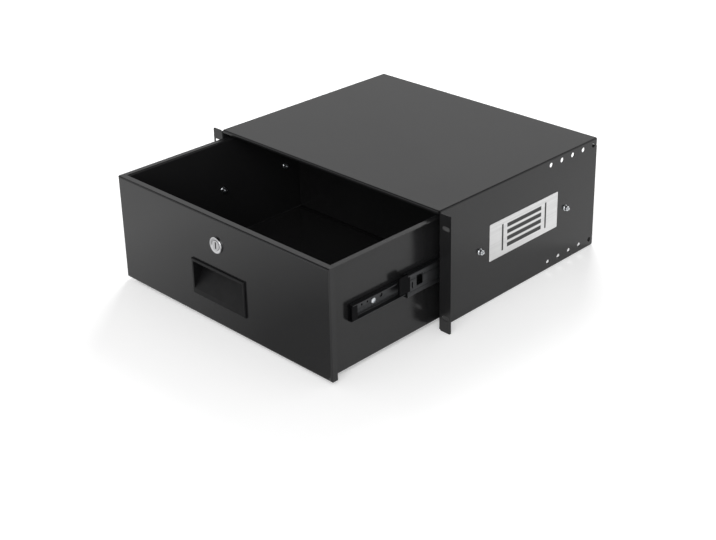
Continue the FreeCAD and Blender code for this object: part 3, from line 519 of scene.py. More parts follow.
def cut(wiring, mesh, *cutters):
    node = wiring.add("GeometryNodeMeshBoolean", {"Mesh 1": mesh}, operation="DIFFERENCE", solver="EXACT")
    wiring.gather(node, "Mesh 2", cutters)
    return node.outputs["Mesh"]


def on_places(wiring, places, made):
    """Puts what was made along Z at each place, laid along X and turned by the place's own turn."""
    turn = wiring.add("GeometryNodeInputNamedAttribute", {"Name": "turn"}, data_type="FLOAT").outputs[0]
    along = wiring.vector(0.0, math.pi / 2, turn)
    rotation = wiring.add("FunctionNodeEulerToRotation", {"Euler": along}).outputs[0]
    inputs = {"Points": places, "Instance": made, "Rotation": rotation}
    return wiring.add("GeometryNodeInstanceOnPoints", inputs).outputs[0]


def end_tree(wiring, geometry, material):
    """Realizes what a tree made and gives it its material."""
    real = wiring.add("GeometryNodeRealizeInstances", {"Geometry": geometry}).outputs[0]
    coated = wiring.add("GeometryNodeSetMaterial", {"Geometry": real, "Material": material}).outputs[0]
    wiring.add("NodeGroupOutput", {"Geometry": coated})


def flange_nut_tree(name):
    """Hexagon nut with chamfered corners on a round flange, at each place."""
    sizes = {"Flats": 0.007, "Height": 0.0042, "Flange": 0.0095, "Flange Height": 0.0011, "Bore": 0.004}
    wiring, given = new_part_tree(name, sizes)
    height = given["Height"]
    corner = wiring.math("DIVIDE", given["Flats"], math.sqrt(3))
    prism = raised(wiring, cylinder(wiring, NUT_SIDES, corner, height), wiring.half(height))
    top = wiring.math("MULTIPLY", given["Flats"], NUT_TOP_SHARE)
    bottom = wiring.math("MULTIPLY_ADD", height, CHAMFER_SLOPE, top)
    hexagon = merged(wiring, "INTERSECT", prism, cone(wiring, CHAMFER_SIDES, top, bottom, height))
    rim = wiring.half(given["Flange"])
    slope = wiring.math("MULTIPLY_ADD", given["Flange Height"], -FLANGE_SLOPE, rim)
    flange = cone(wiring, FLANGE_SIDES, slope, rim, given["Flange Height"])
    through = wiring.math("MULTIPLY", height, BORE_REACH)
    drill = cylinder(wiring, BORE_SIDES, wiring.half(given["Bore"]), through)
    nut = cut(wiring, merged(wiring, "UNION", hexagon, flange), drill)
    end_tree(wiring, on_places(wiring, given["Geometry"], nut), given["Material"])


def threaded_shank_tree(name):
    """Core with a helical ridge, from the origin up along Z."""
    wiring, given = new_shape_tree(name, {"Diameter": 0.004, "Length": 0.01, "Pitch": 0.0007})
    length = given["Length"]
    ridge = wiring.math("MULTIPLY", given["Pitch"], TOOTH_SHARE)
    radius = wiring.math("SUBTRACT", wiring.half(given["Diameter"]), ridge)
    core = raised(wiring, cylinder(wiring, CORE_SIDES, radius, length), wiring.half(length))
    run = wiring.math("SUBTRACT", length, wiring.math("MULTIPLY", ridge, 2.0))
    turns = wiring.math("DIVIDE", run, given["Pitch"])
    helix = wiring.add("GeometryNodeCurveSpiral", {
        "Resolution": THREAD_STEPS, "Height": run, "Rotations": turns,
        "Start Radius": radius, "End Radius": radius})
    tooth = wiring.add("GeometryNodeCurvePrimitiveCircle", {"Resolution": TOOTH_SIDES, "Radius": ridge})
    thread = wiring.add("GeometryNodeCurveToMesh", {
        "Curve": helix.outputs[0], "Profile Curve": tooth.outputs["Curve"], "Fill Caps": True})
    thread = raised(wiring, thread.outputs["Mesh"], ridge)
    wiring.add("NodeGroupOutput", {"Geometry": both(wiring, core, thread)})


def cross_recess(wiring, head, width, reach, depth):
    """Cuts two crossed slots into a head whose top is at the origin."""
    deep = wiring.math("MULTIPLY", depth, 2.0)
    return cut(wiring, head, cuboid(wiring, reach, width, deep), cuboid(wiring, width, reach, deep))


def machine_screw_tree(name):
    """Screw with a cross recess at each place: a domed head stands proud, a countersunk one tapers in."""
    sizes = {"Shank": 0.004, "Length": 0.01, "Pitch": 0.0007, "Head": 0.008, "Head Height": 0.0026,
             "Neck": 0.008, "Dome": 0.012}
    wiring, given = new_part_tree(name, sizes)
    height = given["Head Height"]
    block = cone(wiring, HEAD_SIDES, wiring.half(given["Neck"]), wiring.half(given["Head"]), height)
    dome = raised(wiring, sphere(wiring, DOME_SEGMENTS, DOME_RINGS, given["Dome"]), given["Dome"])
    head = cross_recess(wiring, merged(wiring, "INTERSECT", block, dome),
                        wiring.math("MULTIPLY", given["Head"], RECESS_WIDTH_SHARE),
                        wiring.math("MULTIPLY", given["Head"], RECESS_REACH_SHARE),
                        wiring.math("MULTIPLY", height, RECESS_DEPTH_SHARE))
    shank = wiring.add("GeometryNodeGroup", {
        "Diameter": given["Shank"], "Length": given["Length"], "Pitch": given["Pitch"]},
        node_tree=bpy.data.node_groups["Threaded Shank"])
    screw = both(wiring, head, raised(wiring, shank.outputs[0], height))
    end_tree(wiring, on_places(wiring, given["Geometry"], screw), given["Material"])


def steel_balls_tree(name):
    """Ball with its centre at each place."""
    wiring, given = new_part_tree(name, {"Diameter": 0.004})
    ball = sphere(wiring, BALL_SEGMENTS, BALL_RINGS, wiring.half(given["Diameter"]))
    end_tree(wiring, on_places(wiring, given["Geometry"], ball), given["Material"])


def size_bars_tree(name):
    """Stack of level bars on an upright plate, one bar for each rack unit."""
    sizes = {"Bars": 4, "Pitch": 0.008, "Length": 0.05, "Height": 0.004, "Thickness": 0.0001}
    wiring, given = new_part_tree(name, sizes)
    bar = cuboid(wiring, given["Thickness"], given["Length"], given["Height"])
    step = wiring.vector(0.0, 0.0, given["Pitch"])
    first = wiring.math("MULTIPLY", wiring.math("SUBTRACT", given["Bars"], 1.0), -0.5)
    start = wiring.vector(0.0, 0.0, wiring.math("MULTIPLY", first, given["Pitch"]))
    line = wiring.add("GeometryNodeMeshLine", {
        "Count": given["Bars"], "Start Location": start, "Offset": step})
    stack = wiring.add("GeometryNodeInstanceOnPoints", {"Points": line.outputs["Mesh"], "Instance": bar})
    stacks = wiring.add("GeometryNodeInstanceOnPoints", {
        "Points": given["Geometry"], "Instance": stack.outputs[0]})
    end_tree(wiring, stacks.outputs[0], given["Material"])


TREES = {
    "Coat Grain": coat_grain_group,
    "Drawn Lines": drawn_lines_group,
    "Handling Marks": handling_marks_group,
    "Threaded Shank": threaded_shank_tree,
    "Flange Nut": flange_nut_tree,
    "Machine Screw": machine_screw_tree,
    "Steel Balls": steel_balls_tree,
    "Size Bars": size_bars_tree,
}


def places_mesh(places):
    """One point for each place, with the turn that the tree gives to what it puts there."""
    mesh = bpy.data.meshes.new("places")
    mesh.from_pydata([place for place, turn in places], [], [])
    turns = mesh.attributes.new("turn", "FLOAT", "POINT")
    for index, (place, turn) in enumerate(places):
        turns.data[index].value = turn
    return mesh


def grown_piece(name, tree_name, places, values, body, replaced=()):
    """Runs a geometry tree on the places and keeps its result as a plain mesh on one body."""
    tree = bpy.data.node_groups[tree_name]
    source = bpy.data.objects.new(name + "_places", places_mesh(places))
    bpy.context.scene.collection.objects.link(source)
    modifier = source.modifiers.new(tree_name, "NODES")
    modifier.node_group = tree
    for item in tree.interface.items_tree:
        if item.in_out == "INPUT" and item.name in values:
            modifier[item.identifier] = values[item.name]
    grown = source.evaluated_get(bpy.context.evaluated_depsgraph_get())
    mesh = bpy.data.meshes.new_from_object(grown)
    source.modifiers.remove(modifier)
    bpy.data.objects.remove(source)
    if not mesh.polygons:
        raise RuntimeError(name + " came out empty")
    mesh.name = name
    return add_piece(name, smooth_mesh(mesh), body, replaced)


# Settings that a user would change

def colour_prop(name, description, default):
    return bpy.props.FloatVectorProperty(
        name=name, description=description, subtype="COLOR", default=default, min=0.0, max=1.0)


def share_prop(name, description, default):
    return bpy.props.FloatProperty(
        name=name, description=description, subtype="FACTOR", default=default, min=0.0, max=1.0)


def length_prop(name, description, default, least=0.0, precision=4):
    return bpy.props.FloatProperty(
        name=name, description=description, unit="LENGTH", default=default, min=least,
        precision=precision)


def angle_prop(name, description, degrees):
    return bpy.props.FloatProperty(
        name=name, description=description, subtype="ANGLE", default=math.radians(degrees))


def strength_prop(name, description, default):
    return bpy.props.FloatProperty(name=name, description=description, default=default, min=0.0)


def power_prop(name, description, default):
    return bpy.props.FloatProperty(name=name, description=description, unit="POWER", default=default)


def greys_prop(name, description, default):
    return bpy.props.FloatVectorProperty(
        name=name, description=description, size=2, default=default, min=0.0, max=2.0)


class FinishSettings(bpy.types.PropertyGroup):
    coat_colour: colour_prop("Coat Colour", "Powder coat on the folded steel", (0.014, 0.014, 0.0145))
    coat_roughness: share_prop("Coat Roughness", "How dull the powder coat is", 0.17)
    coat_gloss: share_prop("Coat Gloss", "How much the powder coat mirrors", 0.3)
    coat_grain: length_prop("Coat Grain", "Width of one bump of the powder coat", 0.0011, least=0.0001)
    coat_depth: length_prop("Coat Depth", "Height of the powder coat's bumps", 0.00005, precision=6)
    slide_colour: colour_prop("Slide Colour", "Black coated steel of the slides", (0.045, 0.046, 0.048))
    zinc_colour: colour_prop("Zinc Colour", "Bright zinc of screws and nuts", (0.62, 0.64, 0.66))
    plate_colour: colour_prop("Plate Colour", "Brushed aluminium of the size plate", (0.64, 0.64, 0.64))
    chrome_colour: colour_prop("Chrome Colour", "Chrome of the lock", (0.52, 0.52, 0.53))
    plastic_colour: colour_prop("Plastic Colour", "Black moulded plastic", (0.004, 0.004, 0.0045))
    plastic_gloss: share_prop("Plastic Gloss", "How much the slides' plastic mirrors", 0.04)
    pull_gloss: share_prop("Pull Gloss", "How much the pull and the key heads mirror", 0.2)


class FastenerSettings(bpy.types.PropertyGroup):
    thread: length_prop("Thread", "Diameter of the screw thread", 0.004)
    pitch: length_prop("Pitch", "Rise of the thread in one turn", 0.0007, least=0.0002)
    nut_flats: length_prop("Nut Flats", "Width of the flange nuts across their flats", 0.007)
    nut_flange: length_prop("Flange Height", "Height of the nut's flange", 0.0011)
    pan_height: length_prop("Pan Head Height", "Height of the domed heads in the drawer", 0.0026)
    pan_dome: length_prop("Pan Head Dome", "Radius of the dome of those heads", 0.0068)
    sunk_height: length_prop("Countersink Height", "Height of the slides' countersunk heads", 0.0012)
    sunk_dome: length_prop("Countersunk Dome", "Radius of the shallow crown of those heads", 0.05)


class PlateSettings(bpy.types.PropertyGroup):
    units: bpy.props.IntProperty(
        name="Units", description="Rack units that the enclosure fills, one bar each", default=4, min=1)
    bar_share: share_prop("Bar Length", "Length of a bar as a share of the plate", 0.5)
    stack_share: share_prop("Stack Height", "Height of the stack of bars as a share of the plate", 0.72)
    bar_weight: share_prop("Bar Weight", "Height of a bar as a share of the step between bars", 0.6)
    ink: length_prop("Ink", "How far the print stands out from the plate", 0.00006, precision=6)


class LockSettings(bpy.types.PropertyGroup):
    bezel_height: length_prop("Bezel Height", "How far the bezel stands out from the face", 0.0025)
    bezel_round: length_prop("Bezel Round", "Radius on the bezel's front edge", 0.0012)
    bezel_dish: length_prop("Bezel Dish", "How far the bezel's front sinks towards the plug", 0.0007)
    bezel_groove: length_prop("Bezel Groove", "Width and depth of the groove round the plug", 0.0008)
    barrel: length_prop("Barrel", "Diameter of the threaded barrel", 0.019)
    flats: length_prop("Flats", "Width of the barrel across its two flats", 0.016)
    bore: length_prop("Bore", "Diameter of the bore for the plug", 0.0141)
    pitch: length_prop("Barrel Pitch", "Distance between the grooves of the barrel's thread", 0.001,
                  least=0.0002)


class KeySettings(bpy.types.PropertyGroup):
    ring_lean: angle_prop("Ring Lean", "Lean of the key ring against the floor of the drawer", 50)
    ring_wire: length_prop("Ring Wire", "Diameter of the ring's wire", 0.0014)
    edge_round: length_prop("Edge Round", "Radius on the edges of the keys' heads", 0.0005)


class StudioSettings(bpy.types.PropertyGroup):
    azimuth: angle_prop("Azimuth", "Camera's turn to the right of the front", 43.416)
    elevation: angle_prop("Elevation", "Camera's height above the level", 22.703)
    roll: angle_prop("Roll", "Camera's turn about its own axis", -0.537)
    place: bpy.props.FloatVectorProperty(
        name="Camera Place", description="Where the camera stands", subtype="TRANSLATION",
        default=(1.2553, -1.1684, 0.8123))
    lens: bpy.props.FloatProperty(
        name="Lens", description="Focal length in millimetres on a 36 mm frame", default=66.13, min=1.0)
    shift: bpy.props.FloatVectorProperty(
        name="Lens Shift", description="Sideways and upward shift of the lens, in frame widths", size=2,
        default=(-0.0579, -0.1512))
    sky: strength_prop("Sky", "Strength of the even light from all round", 0.5)
    floor_lift: strength_prop("Floor Lift", "Glow that whitens the floor near the object", 0.34)
    far_lift: strength_prop("Far Lift", "Glow that whitens the floor far off", 0.62)
    # Painted reflection: tone of the glowing ceiling card that puts dark lines along the bends in gloss.
    ceiling_grey: share_prop("Ceiling Grey", "Tone of the ceiling that gloss shows along the bends", 0.04)
    # Painted reflection: low and high tone of the glowing backdrop card that only the top's gloss shows.
    backdrop_greys: greys_prop("Backdrop Greys", "Low and high tone of the backdrop in the top's gloss",
                                (0.27, 0.97))
    # Painted shade: near and far tone of the darker floor patch that only the face's gloss shows.
    shade_greys: greys_prop("Shade Greys", "Near and far tone of the floor in the face's gloss",
                            (0.3, 1.25))
    key_power: power_prop("Key Power", "Power of the lamp behind on the left", 52.0)
    key_size: length_prop("Key Size", "Width of that lamp", 1.2)
    fill_power: power_prop("Fill Power", "Power of the large lamp near the camera", 34.0)
    fill_size: length_prop("Fill Size", "Width of that lamp", 2.0)


class RackDrawerSettings(bpy.types.PropertyGroup):
    finish: bpy.props.PointerProperty(type=FinishSettings)
    fastener: bpy.props.PointerProperty(type=FastenerSettings)
    plate: bpy.props.PointerProperty(type=PlateSettings)
    lock: bpy.props.PointerProperty(type=LockSettings)
    keys: bpy.props.PointerProperty(type=KeySettings)
    studio: bpy.props.PointerProperty(type=StudioSettings)


# Operators

class RACKDRAWER_OT_trees(bpy.types.Operator):
    """Makes the node groups that finishes and fasteners share"""
    bl_idname = "rackdrawer.trees"
    bl_label = "Node Groups"

    def execute(self, context):
        for name, make in TREES.items():
            if name not in bpy.data.node_groups:
                make(name)
        return {"FINISHED"}


class RACKDRAWER_OT_sheet_metal(bpy.types.Operator):
    """Coats the folded steel of the chassis and the drawer"""
    bl_idname = "rackdrawer.sheet_metal"
    bl_label = "Sheet Metal"

    def execute(self, context):
        finish_nodes("powder_coat", "chassis_shell", "lock_strike", "drawer_face", "drawer_tray",
                     "drawer_back")
        return {"FINISHED"}


class RACKDRAWER_OT_slides(bpy.types.Operator):
    """Finishes the members of the telescopic slides and their ball cages"""
    bl_idname = "rackdrawer.slides"
    bl_label = "Slides"

    def execute(self, context):
        for side in SLIDE_SIDES:
            finish_nodes("rolled_steel", side + "_outer_slide", side + "_middle_slide",
                         side + "_drawer_slide")
            finish_nodes("zinc_plate", side + "_outer_cage", side + "_inner_cage")
        finish_nodes("zinc_plate", "lever_rivets")
        return {"FINISHED"}


class RACKDRAWER_OT_slide_plastics(bpy.types.Operator):
    """Finishes the plastic ends, bumpers and release levers of the slides"""
    bl_idname = "rackdrawer.slide_plastics"
    bl_label = "Slide Plastics"

    def execute(self, context):
        for side in SLIDE_SIDES:
            finish_nodes("dull_plastic", side + "_end_cap", side + "_slide_bumper",
                         side + "_release_lever")
        return {"FINISHED"}


class RACKDRAWER_OT_balls(bpy.types.Operator):
    """Puts a polished ball in each pocket of the cages"""
    bl_idname = "rackdrawer.balls"
    bl_label = "Slide Balls"

    def execute(self, context):
        for side in SLIDE_SIDES:
            for row in ("outer", "inner"):
                node_name = side + "_" + row + "_balls"
                places = [((low + high) / 2, 0.0) for low, high in solid_boxes(node_name)]
                values = {"Diameter": node_size(node_name).x, "Material": finish_named("hardened_steel")}
                grown_piece(node_name + "_polished", "Steel Balls", places, values, node_name,
                            [node_name])
        return {"FINISHED"}


class RACKDRAWER_OT_nuts(bpy.types.Operator):
    """Makes the flange nuts outside the chassis and inside the drawer"""
    bl_idname = "rackdrawer.nuts"
    bl_label = "Flange Nuts"

    def execute(self, context):
        sizes = context.scene.rack_drawer.fastener
        for body, from_inner_end in (("chassis", True), ("drawer", False)):
            node_name = body + "_nuts"
            size = node_size(node_name)
            values = {"Flats": sizes.nut_flats, "Height": size.x, "Flange": size.y,
                      "Flange Height": sizes.nut_flange, "Bore": sizes.thread,
                      "Material": finish_named("zinc_plate")}
            grown_piece(node_name + "_chamfered", "Flange Nut", axis_places(node_name, from_inner_end),
                        values, body, [node_name])
        return {"FINISHED"}


class RACKDRAWER_OT_screws(bpy.types.Operator):
    """Makes the threaded screws that hold the slides"""
    bl_idname = "rackdrawer.screws"
    bl_label = "Slide Screws"

    def execute(self, context):
        sizes = context.scene.rack_drawer.fastener
        sunk = {"Head Height": sizes.sunk_height, "Dome": sizes.sunk_dome, "Neck": sizes.thread}
        pan = {"Head Height": sizes.pan_height, "Dome": sizes.pan_dome}
        for body, from_inner_end, head in (("chassis", True, sunk), ("drawer", False, pan)):
            node_name = body + "_screws"
            size = node_size(node_name)
            values = {"Shank": sizes.thread, "Length": size.x - head["Head Height"], "Pitch": sizes.pitch,
                      "Head": size.y, "Neck": size.y, **head, "Material": finish_named("zinc_plate")}
            grown_piece(node_name + "_threaded", "Machine Screw", axis_places(node_name, from_inner_end),
                        values, body, [node_name])
        return {"FINISHED"}


class RACKDRAWER_OT_size_plate(bpy.types.Operator):
    """Finishes the size plate and prints one bar for each rack unit between two rails"""
    bl_idname = "rackdrawer.size_plate"
    bl_label = "Size Plate"

    RAILS_IN_STEP = 3

    def execute(self, context):
        plate = context.scene.rack_drawer.plate
        finish_nodes("brushed_aluminium", "size_plate")
        low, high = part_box("size_plate")
        size = high - low
        middle = (low + high) / 2
        centre = Vector((high.x, middle.y, middle.z))
        pitch = size.z * plate.stack_share / plate.units
        bars = {"Bars": plate.units, "Pitch": pitch, "Length": size.y * plate.bar_share,
                "Height": pitch * plate.bar_weight, "Thickness": 2 * plate.ink,
                "Material": finish_named("plate_ink")}
        reach = Vector((0.0, bars["Length"] / 2 + pitch, 0.0))
        rails = {**bars, "Bars": 1, "Length": pitch / self.RAILS_IN_STEP,
                 "Height": size.z * plate.stack_share}
        self.print_at("size_plate_bars", [centre], bars)
        self.print_at("size_plate_rails", [centre - reach, centre + reach], rails)
        return {"FINISHED"}

    def print_at(self, name, centres, values):
        places = [(centre, 0.0) for centre in centres]
        grown_piece(name, "Size Bars", places, values, "chassis")


class RACKDRAWER_OT_lock(bpy.types.Operator):
    """Turns the lock's rounded bezel and threaded barrel, and finishes its inner parts"""
    bl_idname = "rackdrawer.lock"
    bl_label = "Cam Lock"

    SEGMENTS = 72
    ROUND_STEPS = 6
    GROOVE_SHARE = 0.35

    def execute(self, context):
        lock = context.scene.rack_drawer.lock
        low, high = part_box("lock_housing")
        place = Vector(((low.x + high.x) / 2, low.y, (low.z + high.z) / 2))
        built = bmesh.new()
        lathe(built, self.profile(lock, (high.x - low.x) / 2, high.y - low.y), self.SEGMENTS, place)
        self.press_flats(built, lock, place)
        mesh = mesh_from(built, "lock_bezel_and_barrel", finish_named("polished_chrome"))
        add_piece("lock_bezel_and_barrel", mesh, "drawer", ["lock_housing"])
        finish_nodes("polished_chrome", "lock_plug")
        finish_nodes("zinc_plate", "lock_washer", "lock_nut", "lock_cam", "cam_screw")
        return {"FINISHED"}

    def profile(self, lock, edge, depth):
        """From the groove round the plug over the rounded edge, and back along the thread."""
        bore = lock.bore / 2
        barrel = lock.barrel / 2
        corner = (edge - lock.bezel_round, lock.bezel_round)
        points = [(bore, lock.bezel_dish + lock.bezel_groove)]
        points += [(bore + lock.bezel_groove, lock.bezel_dish)]
        points += arc_points(corner, lock.bezel_round, -math.pi / 2, 0.0, self.ROUND_STEPS)
        points += [(edge, lock.bezel_height), (barrel, lock.bezel_height)]
        for groove in range(int((depth - lock.bezel_height) / lock.pitch)):
            back = lock.bezel_height + groove * lock.pitch
            points.append((barrel - self.GROOVE_SHARE * lock.pitch, back + lock.pitch / 2))
            points.append((barrel, back + lock.pitch))
        return points + [(barrel, depth), (bore, depth)]

    def press_flats(self, built, lock, place):
        """Presses the barrel behind the bezel in to its two flats."""
        reach = lock.flats / 2
        for vert in built.verts:
            offset = vert.co - place
            behind = offset.y > lock.bezel_height - MERGE_DISTANCE
            on_barrel = offset.xz.length < lock.barrel / 2 + MERGE_DISTANCE
            if behind and on_barrel and abs(offset.x) > reach:
                vert.co.x = place.x + math.copysign(reach, offset.x)


class RACKDRAWER_OT_pull(bpy.types.Operator):
    """Finishes the moulded recess of the pull"""
    bl_idname = "rackdrawer.pull"
    bl_label = "Recessed Pull"

    def execute(self, context):
        finish_nodes("satin_plastic", "pull_cup")
        return {"FINISHED"}


class RACKDRAWER_OT_keys(bpy.types.Operator):
    """Finishes the keys, rounds their heads and bends their round wire ring"""
    bl_idname = "rackdrawer.keys"
    bl_label = "Keys"

    SEGMENTS = 72
    WIRE_STEPS = 12
    EDGE_STEPS = 3
    EDGE_PROFILE = 0.5

    def execute(self, context):
        keys = context.scene.rack_drawer.keys
        self.bend_ring(keys)
        self.round_heads(keys)
        finish_nodes("zinc_plate", "key_blades")
        return {"FINISHED"}

    def bend_ring(self, keys):
        low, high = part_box("key_ring")
        radius = (high.y - low.y) / 2 - keys.ring_wire / 2
        wire = arc_points((radius, 0.0), keys.ring_wire / 2, 0.0, math.tau, self.WIRE_STEPS)[:-1]
        built = bmesh.new()
        lathe(built, wire, self.SEGMENTS, Vector())
        upright = Matrix.Rotation(-keys.ring_lean, 4, "Y") @ Matrix.Rotation(math.pi / 2, 4, "X")
        built.transform(Matrix.Translation((low + high) / 2) @ upright)
        mesh = mesh_from(built, "key_ring_wire", finish_named("zinc_plate"))
        add_piece("key_ring_wire", mesh, "drawer", ["key_ring"])

    def round_heads(self, keys):
        heads = merged_copy("key_heads")
        bmesh.ops.dissolve_limit(heads, angle_limit=FLAT_ANGLE, verts=heads.verts, edges=heads.edges)
        corners = [edge for edge in heads.edges
                   if len(edge.link_faces) == 2 and edge.calc_face_angle() > SHARP_ANGLE]
        bmesh.ops.bevel(heads, geom=corners, offset=keys.edge_round, segments=self.EDGE_STEPS,
                        profile=self.EDGE_PROFILE, affect="EDGES", clamp_overlap=True)
        mesh = mesh_from(heads, "key_heads_moulded", finish_named("satin_plastic"))
        add_piece("key_heads_moulded", mesh, "drawer", ["key_heads"])


class RACKDRAWER_OT_stage(bpy.types.Operator):
    """Sets the pale floor, the soft lamps, the white surround, the camera, and glowing cards that only
    gloss shows: painted reflections of a dark ceiling and a grey backdrop, and painted floor shade
    """
    bl_idname = "rackdrawer.stage"
    bl_label = "Studio"

    DISC_SIDES = 64
    FLOOR_RADIUS = 8.0
    FLOOR_PAPER = (0.86, 0.86, 0.86, 1.0)
    LIFT_NEAR = 1.2
    LIFT_FAR = 4.0
    CEILING_RADIUS = 2.8
    CEILING_PLACE = (0.0, 0.0, 2.0)
    BACKDROP_RADIUS = 1.5
    BACKDROP_PLACE = (-2.3, 2.2, 1.0)
    FADE_START = 0.2
    FADE_END = 1.8
    SHADE_LOW = (-0.7, -0.8)
    SHADE_HIGH = (0.2, -0.2)
    SHADE_MIDDLE = (0.15, -0.28)
    SHADE_NEAR = 0.1
    SHADE_FAR = 0.5
    KEY_PLACE = (-1.4, 2.0, 1.7)
    FILL_PLACE = (1.3, -1.8, 1.4)
    FRAME_WIDTH = 36.0

    def execute(self, context):
        studio = context.scene.rack_drawer.studio
        self.floor(studio)
        # Painted reflections: glowing cards that only gloss shows, a dark ceiling for the bends and a
        # grey backdrop for the top.
        painted_ceiling_greys = [studio.ceiling_grey] * 2
        self.round_card("dark_ceiling", self.CEILING_RADIUS, self.CEILING_PLACE, painted_ceiling_greys)
        self.round_card("grey_backdrop", self.BACKDROP_RADIUS, self.BACKDROP_PLACE, studio.backdrop_greys)
        # Painted shade: a darker floor patch that only gloss shows, reflected in the face.
        self.floor_shade(studio)
        self.surround(context, studio)
        key = self.lamp(context, "key_lamp", self.KEY_PLACE, studio.key_size, studio.key_power)
        key.visible_glossy = False
        self.lamp(context, "fill_lamp", self.FILL_PLACE, studio.fill_size, studio.fill_power)
        self.camera(context, studio)
        context.scene.view_settings.view_transform = "Standard"
        return {"FINISHED"}

    def seen_directly(self, wiring):
        """1 for rays that show the background: from the camera, off gloss or through glass."""
        path = wiring.add("ShaderNodeLightPath").outputs
        seen = wiring.math("MAXIMUM", path["Is Camera Ray"], path["Is Glossy Ray"])
        return wiring.math("MAXIMUM", seen, path["Is Transmission Ray"])

    def disc(self, radius, place):
        """Round sheet at a place, turned to face the object."""
        built = bmesh.new()
        bmesh.ops.create_circle(built, cap_ends=True, segments=self.DISC_SIDES, radius=radius)
        turn = (-Vector(place)).to_track_quat("Z", "Y").to_matrix().to_4x4()
        built.transform(Matrix.Translation(place) @ turn)
        return built

    def sheet(self, name, built, surface):
        """Puts a sheet in the scene, tied to no body of the object."""
        made = bpy.data.objects.new(name, mesh_from(built, name, surface.material))
        bpy.context.scene.collection.objects.link(made)
        return made

    def floor(self, studio):
        """White paper that keeps the shadow, lifted where it is seen directly, and more so far off."""
        surface = Surface("pale_floor")
        paper = surface.add("ShaderNodeBsdfDiffuse", {"Color": self.FLOOR_PAPER}).outputs[0]
        away = surface.add("ShaderNodeVectorMath", {0: surface.place}, operation="LENGTH")
        lift = surface.spread(away.outputs["Value"], studio.floor_lift, studio.far_lift,
                              self.LIFT_NEAR, self.LIFT_FAR)
        glow = surface.glow(surface.math("MULTIPLY", self.seen_directly(surface), lift))
        surface.end(surface.add("ShaderNodeAddShader", {0: paper, 1: glow}).outputs[0])
        self.sheet("studio_floor", self.disc(self.FLOOR_RADIUS, (0.0, 0.0, CAD_BOX[0].z)), surface)

    def gloss_card(self, name, built, surface, tone):
        """Painted reflection: a glowing sheet that only gloss shows, in a tone from black to white. It
        puts no light on the object.
        """
        surface.end(surface.glow(tone))
        card = self.sheet(name, built, surface)
        card.visible_camera = False
        card.visible_diffuse = False
        card.visible_transmission = False
        card.visible_shadow = False

    def round_card(self, name, radius, place, low_and_high):
        """Painted reflection: a dark card above that puts dark lines along the bends, or one behind for
        the top, which grows paler upwards.
        """
        surface = Surface(name)
        height = surface.add("ShaderNodeSeparateXYZ", {"Vector": surface.place}).outputs["Z"]
        tone = surface.spread(height, *low_and_high, self.FADE_START, self.FADE_END)
        self.gloss_card(name, self.disc(radius, place), surface, tone)

    def floor_shade(self, studio):
        """Painted shade: a darker patch of floor that only gloss shows, before the right of the drawer's
        face, standing in for the floor's shadow in the face's reflection.
        """
        surface = Surface("floor_shade")
        height = CAD_BOX[0].z + MILLIMETRE
        apart = surface.add("ShaderNodeVectorMath", {0: surface.place, 1: (*self.SHADE_MIDDLE, height)},
                            operation="DISTANCE").outputs["Value"]
        tone = surface.spread(apart, *studio.shade_greys, self.SHADE_NEAR, self.SHADE_FAR)
        (left, front), (right, back) = self.SHADE_LOW, self.SHADE_HIGH
        corners = ((left, front), (right, front), (right, back), (left, back))
        built = bmesh.new()
        built.faces.new([built.verts.new((x, y, height)) for x, y in corners])
        self.gloss_card("floor_shade", built, surface, tone)

    def surround(self, context, studio):
        world = bpy.data.worlds.new("studio_surround")
        world.use_nodes = True
        world.node_tree.nodes.clear()
        wiring = Wiring(world.node_tree)
        sky = wiring.spread(self.seen_directly(wiring), studio.sky, 1.0)
        light = wiring.add("ShaderNodeBackground", {"Color": WHITE, "Strength": sky})
        wiring.add("ShaderNodeOutputWorld", {"Surface": light.outputs[0]})
        context.scene.world = world

    def lamp(self, context, name, place, size, watts):
        """Square lamp at a place, turned to the object."""
        light = bpy.data.lights.new(name, "AREA")
        light.shape = "SQUARE"
        light.size = size
        light.energy = watts
        lamp = bpy.data.objects.new(name, light)
        lamp.location = place
        lamp.rotation_euler = (-Vector(place)).to_track_quat("-Z", "Y").to_euler()
        context.scene.collection.objects.link(lamp)
        return lamp

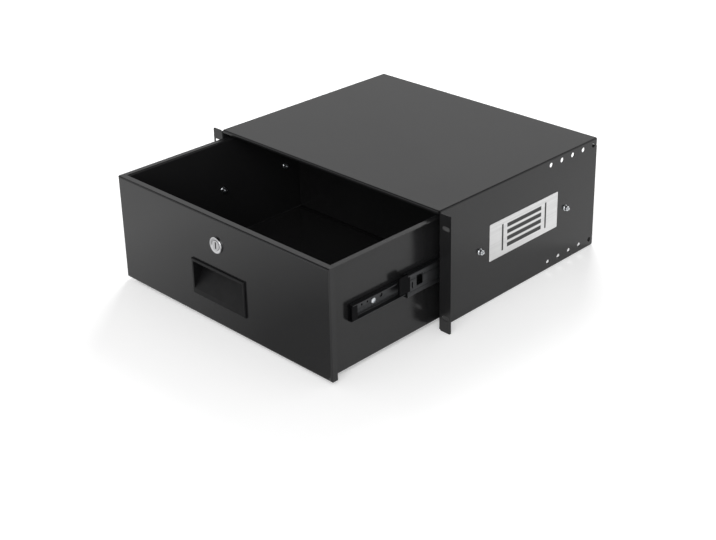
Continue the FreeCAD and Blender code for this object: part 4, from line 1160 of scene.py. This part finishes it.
    def camera(self, context, studio):
        level = math.cos(studio.elevation)
        back = Vector((math.sin(studio.azimuth) * level, -math.cos(studio.azimuth) * level,
                       math.sin(studio.elevation)))
        right = Vector((0.0, 0.0, 1.0)).cross(back).normalized()
        up = back.cross(right)
        turned = right * math.cos(studio.roll) + up * math.sin(studio.roll)
        upright = up * math.cos(studio.roll) - right * math.sin(studio.roll)
        lens = bpy.data.cameras.new("photo_camera")
        lens.sensor_fit = "HORIZONTAL"
        lens.sensor_width = self.FRAME_WIDTH
        lens.lens = studio.lens
        lens.shift_x, lens.shift_y = studio.shift
        camera = bpy.data.objects.new("photo_camera", lens)
        axes = Matrix((turned, upright, back)).transposed().to_4x4()
        camera.matrix_world = Matrix.Translation(studio.place) @ axes
        context.scene.collection.objects.link(camera)
        context.scene.camera = camera


STEPS = (
    RACKDRAWER_OT_trees,
    RACKDRAWER_OT_stage,
    RACKDRAWER_OT_sheet_metal,
    RACKDRAWER_OT_slides,
    RACKDRAWER_OT_slide_plastics,
    RACKDRAWER_OT_balls,
    RACKDRAWER_OT_nuts,
    RACKDRAWER_OT_screws,
    RACKDRAWER_OT_size_plate,
    RACKDRAWER_OT_lock,
    RACKDRAWER_OT_pull,
    RACKDRAWER_OT_keys,
)


class RACKDRAWER_PT_panel(bpy.types.Panel):
    bl_idname = "RACKDRAWER_PT_panel"
    bl_label = "Rack Drawer"
    bl_space_type = "VIEW_3D"
    bl_region_type = "UI"
    bl_category = "Rack Drawer"

    def draw(self, context):
        settings = context.scene.rack_drawer
        for group in (settings.finish, settings.fastener, settings.plate, settings.lock, settings.keys,
                      settings.studio):
            box = self.layout.box()
            for name in group.__annotations__:
                box.prop(group, name)
        for step in STEPS:
            self.layout.operator(step.bl_idname)


CLASSES = (
    FinishSettings,
    FastenerSettings,
    PlateSettings,
    LockSettings,
    KeySettings,
    StudioSettings,
    RackDrawerSettings,
) + STEPS + (RACKDRAWER_PT_panel,)


def register():
    for kind in CLASSES:
        bpy.utils.register_class(kind)
    bpy.types.Scene.rack_drawer = bpy.props.PointerProperty(type=RackDrawerSettings)


def unregister():
    del bpy.types.Scene.rack_drawer
    for kind in reversed(CLASSES):
        bpy.utils.unregister_class(kind)


def main():
    """Dresses the frame."""
    register()
    for step in STEPS:
        family, operator = step.bl_idname.split(".")
        getattr(getattr(bpy.ops, family), operator)()


if __name__ == "__main__":
    main()
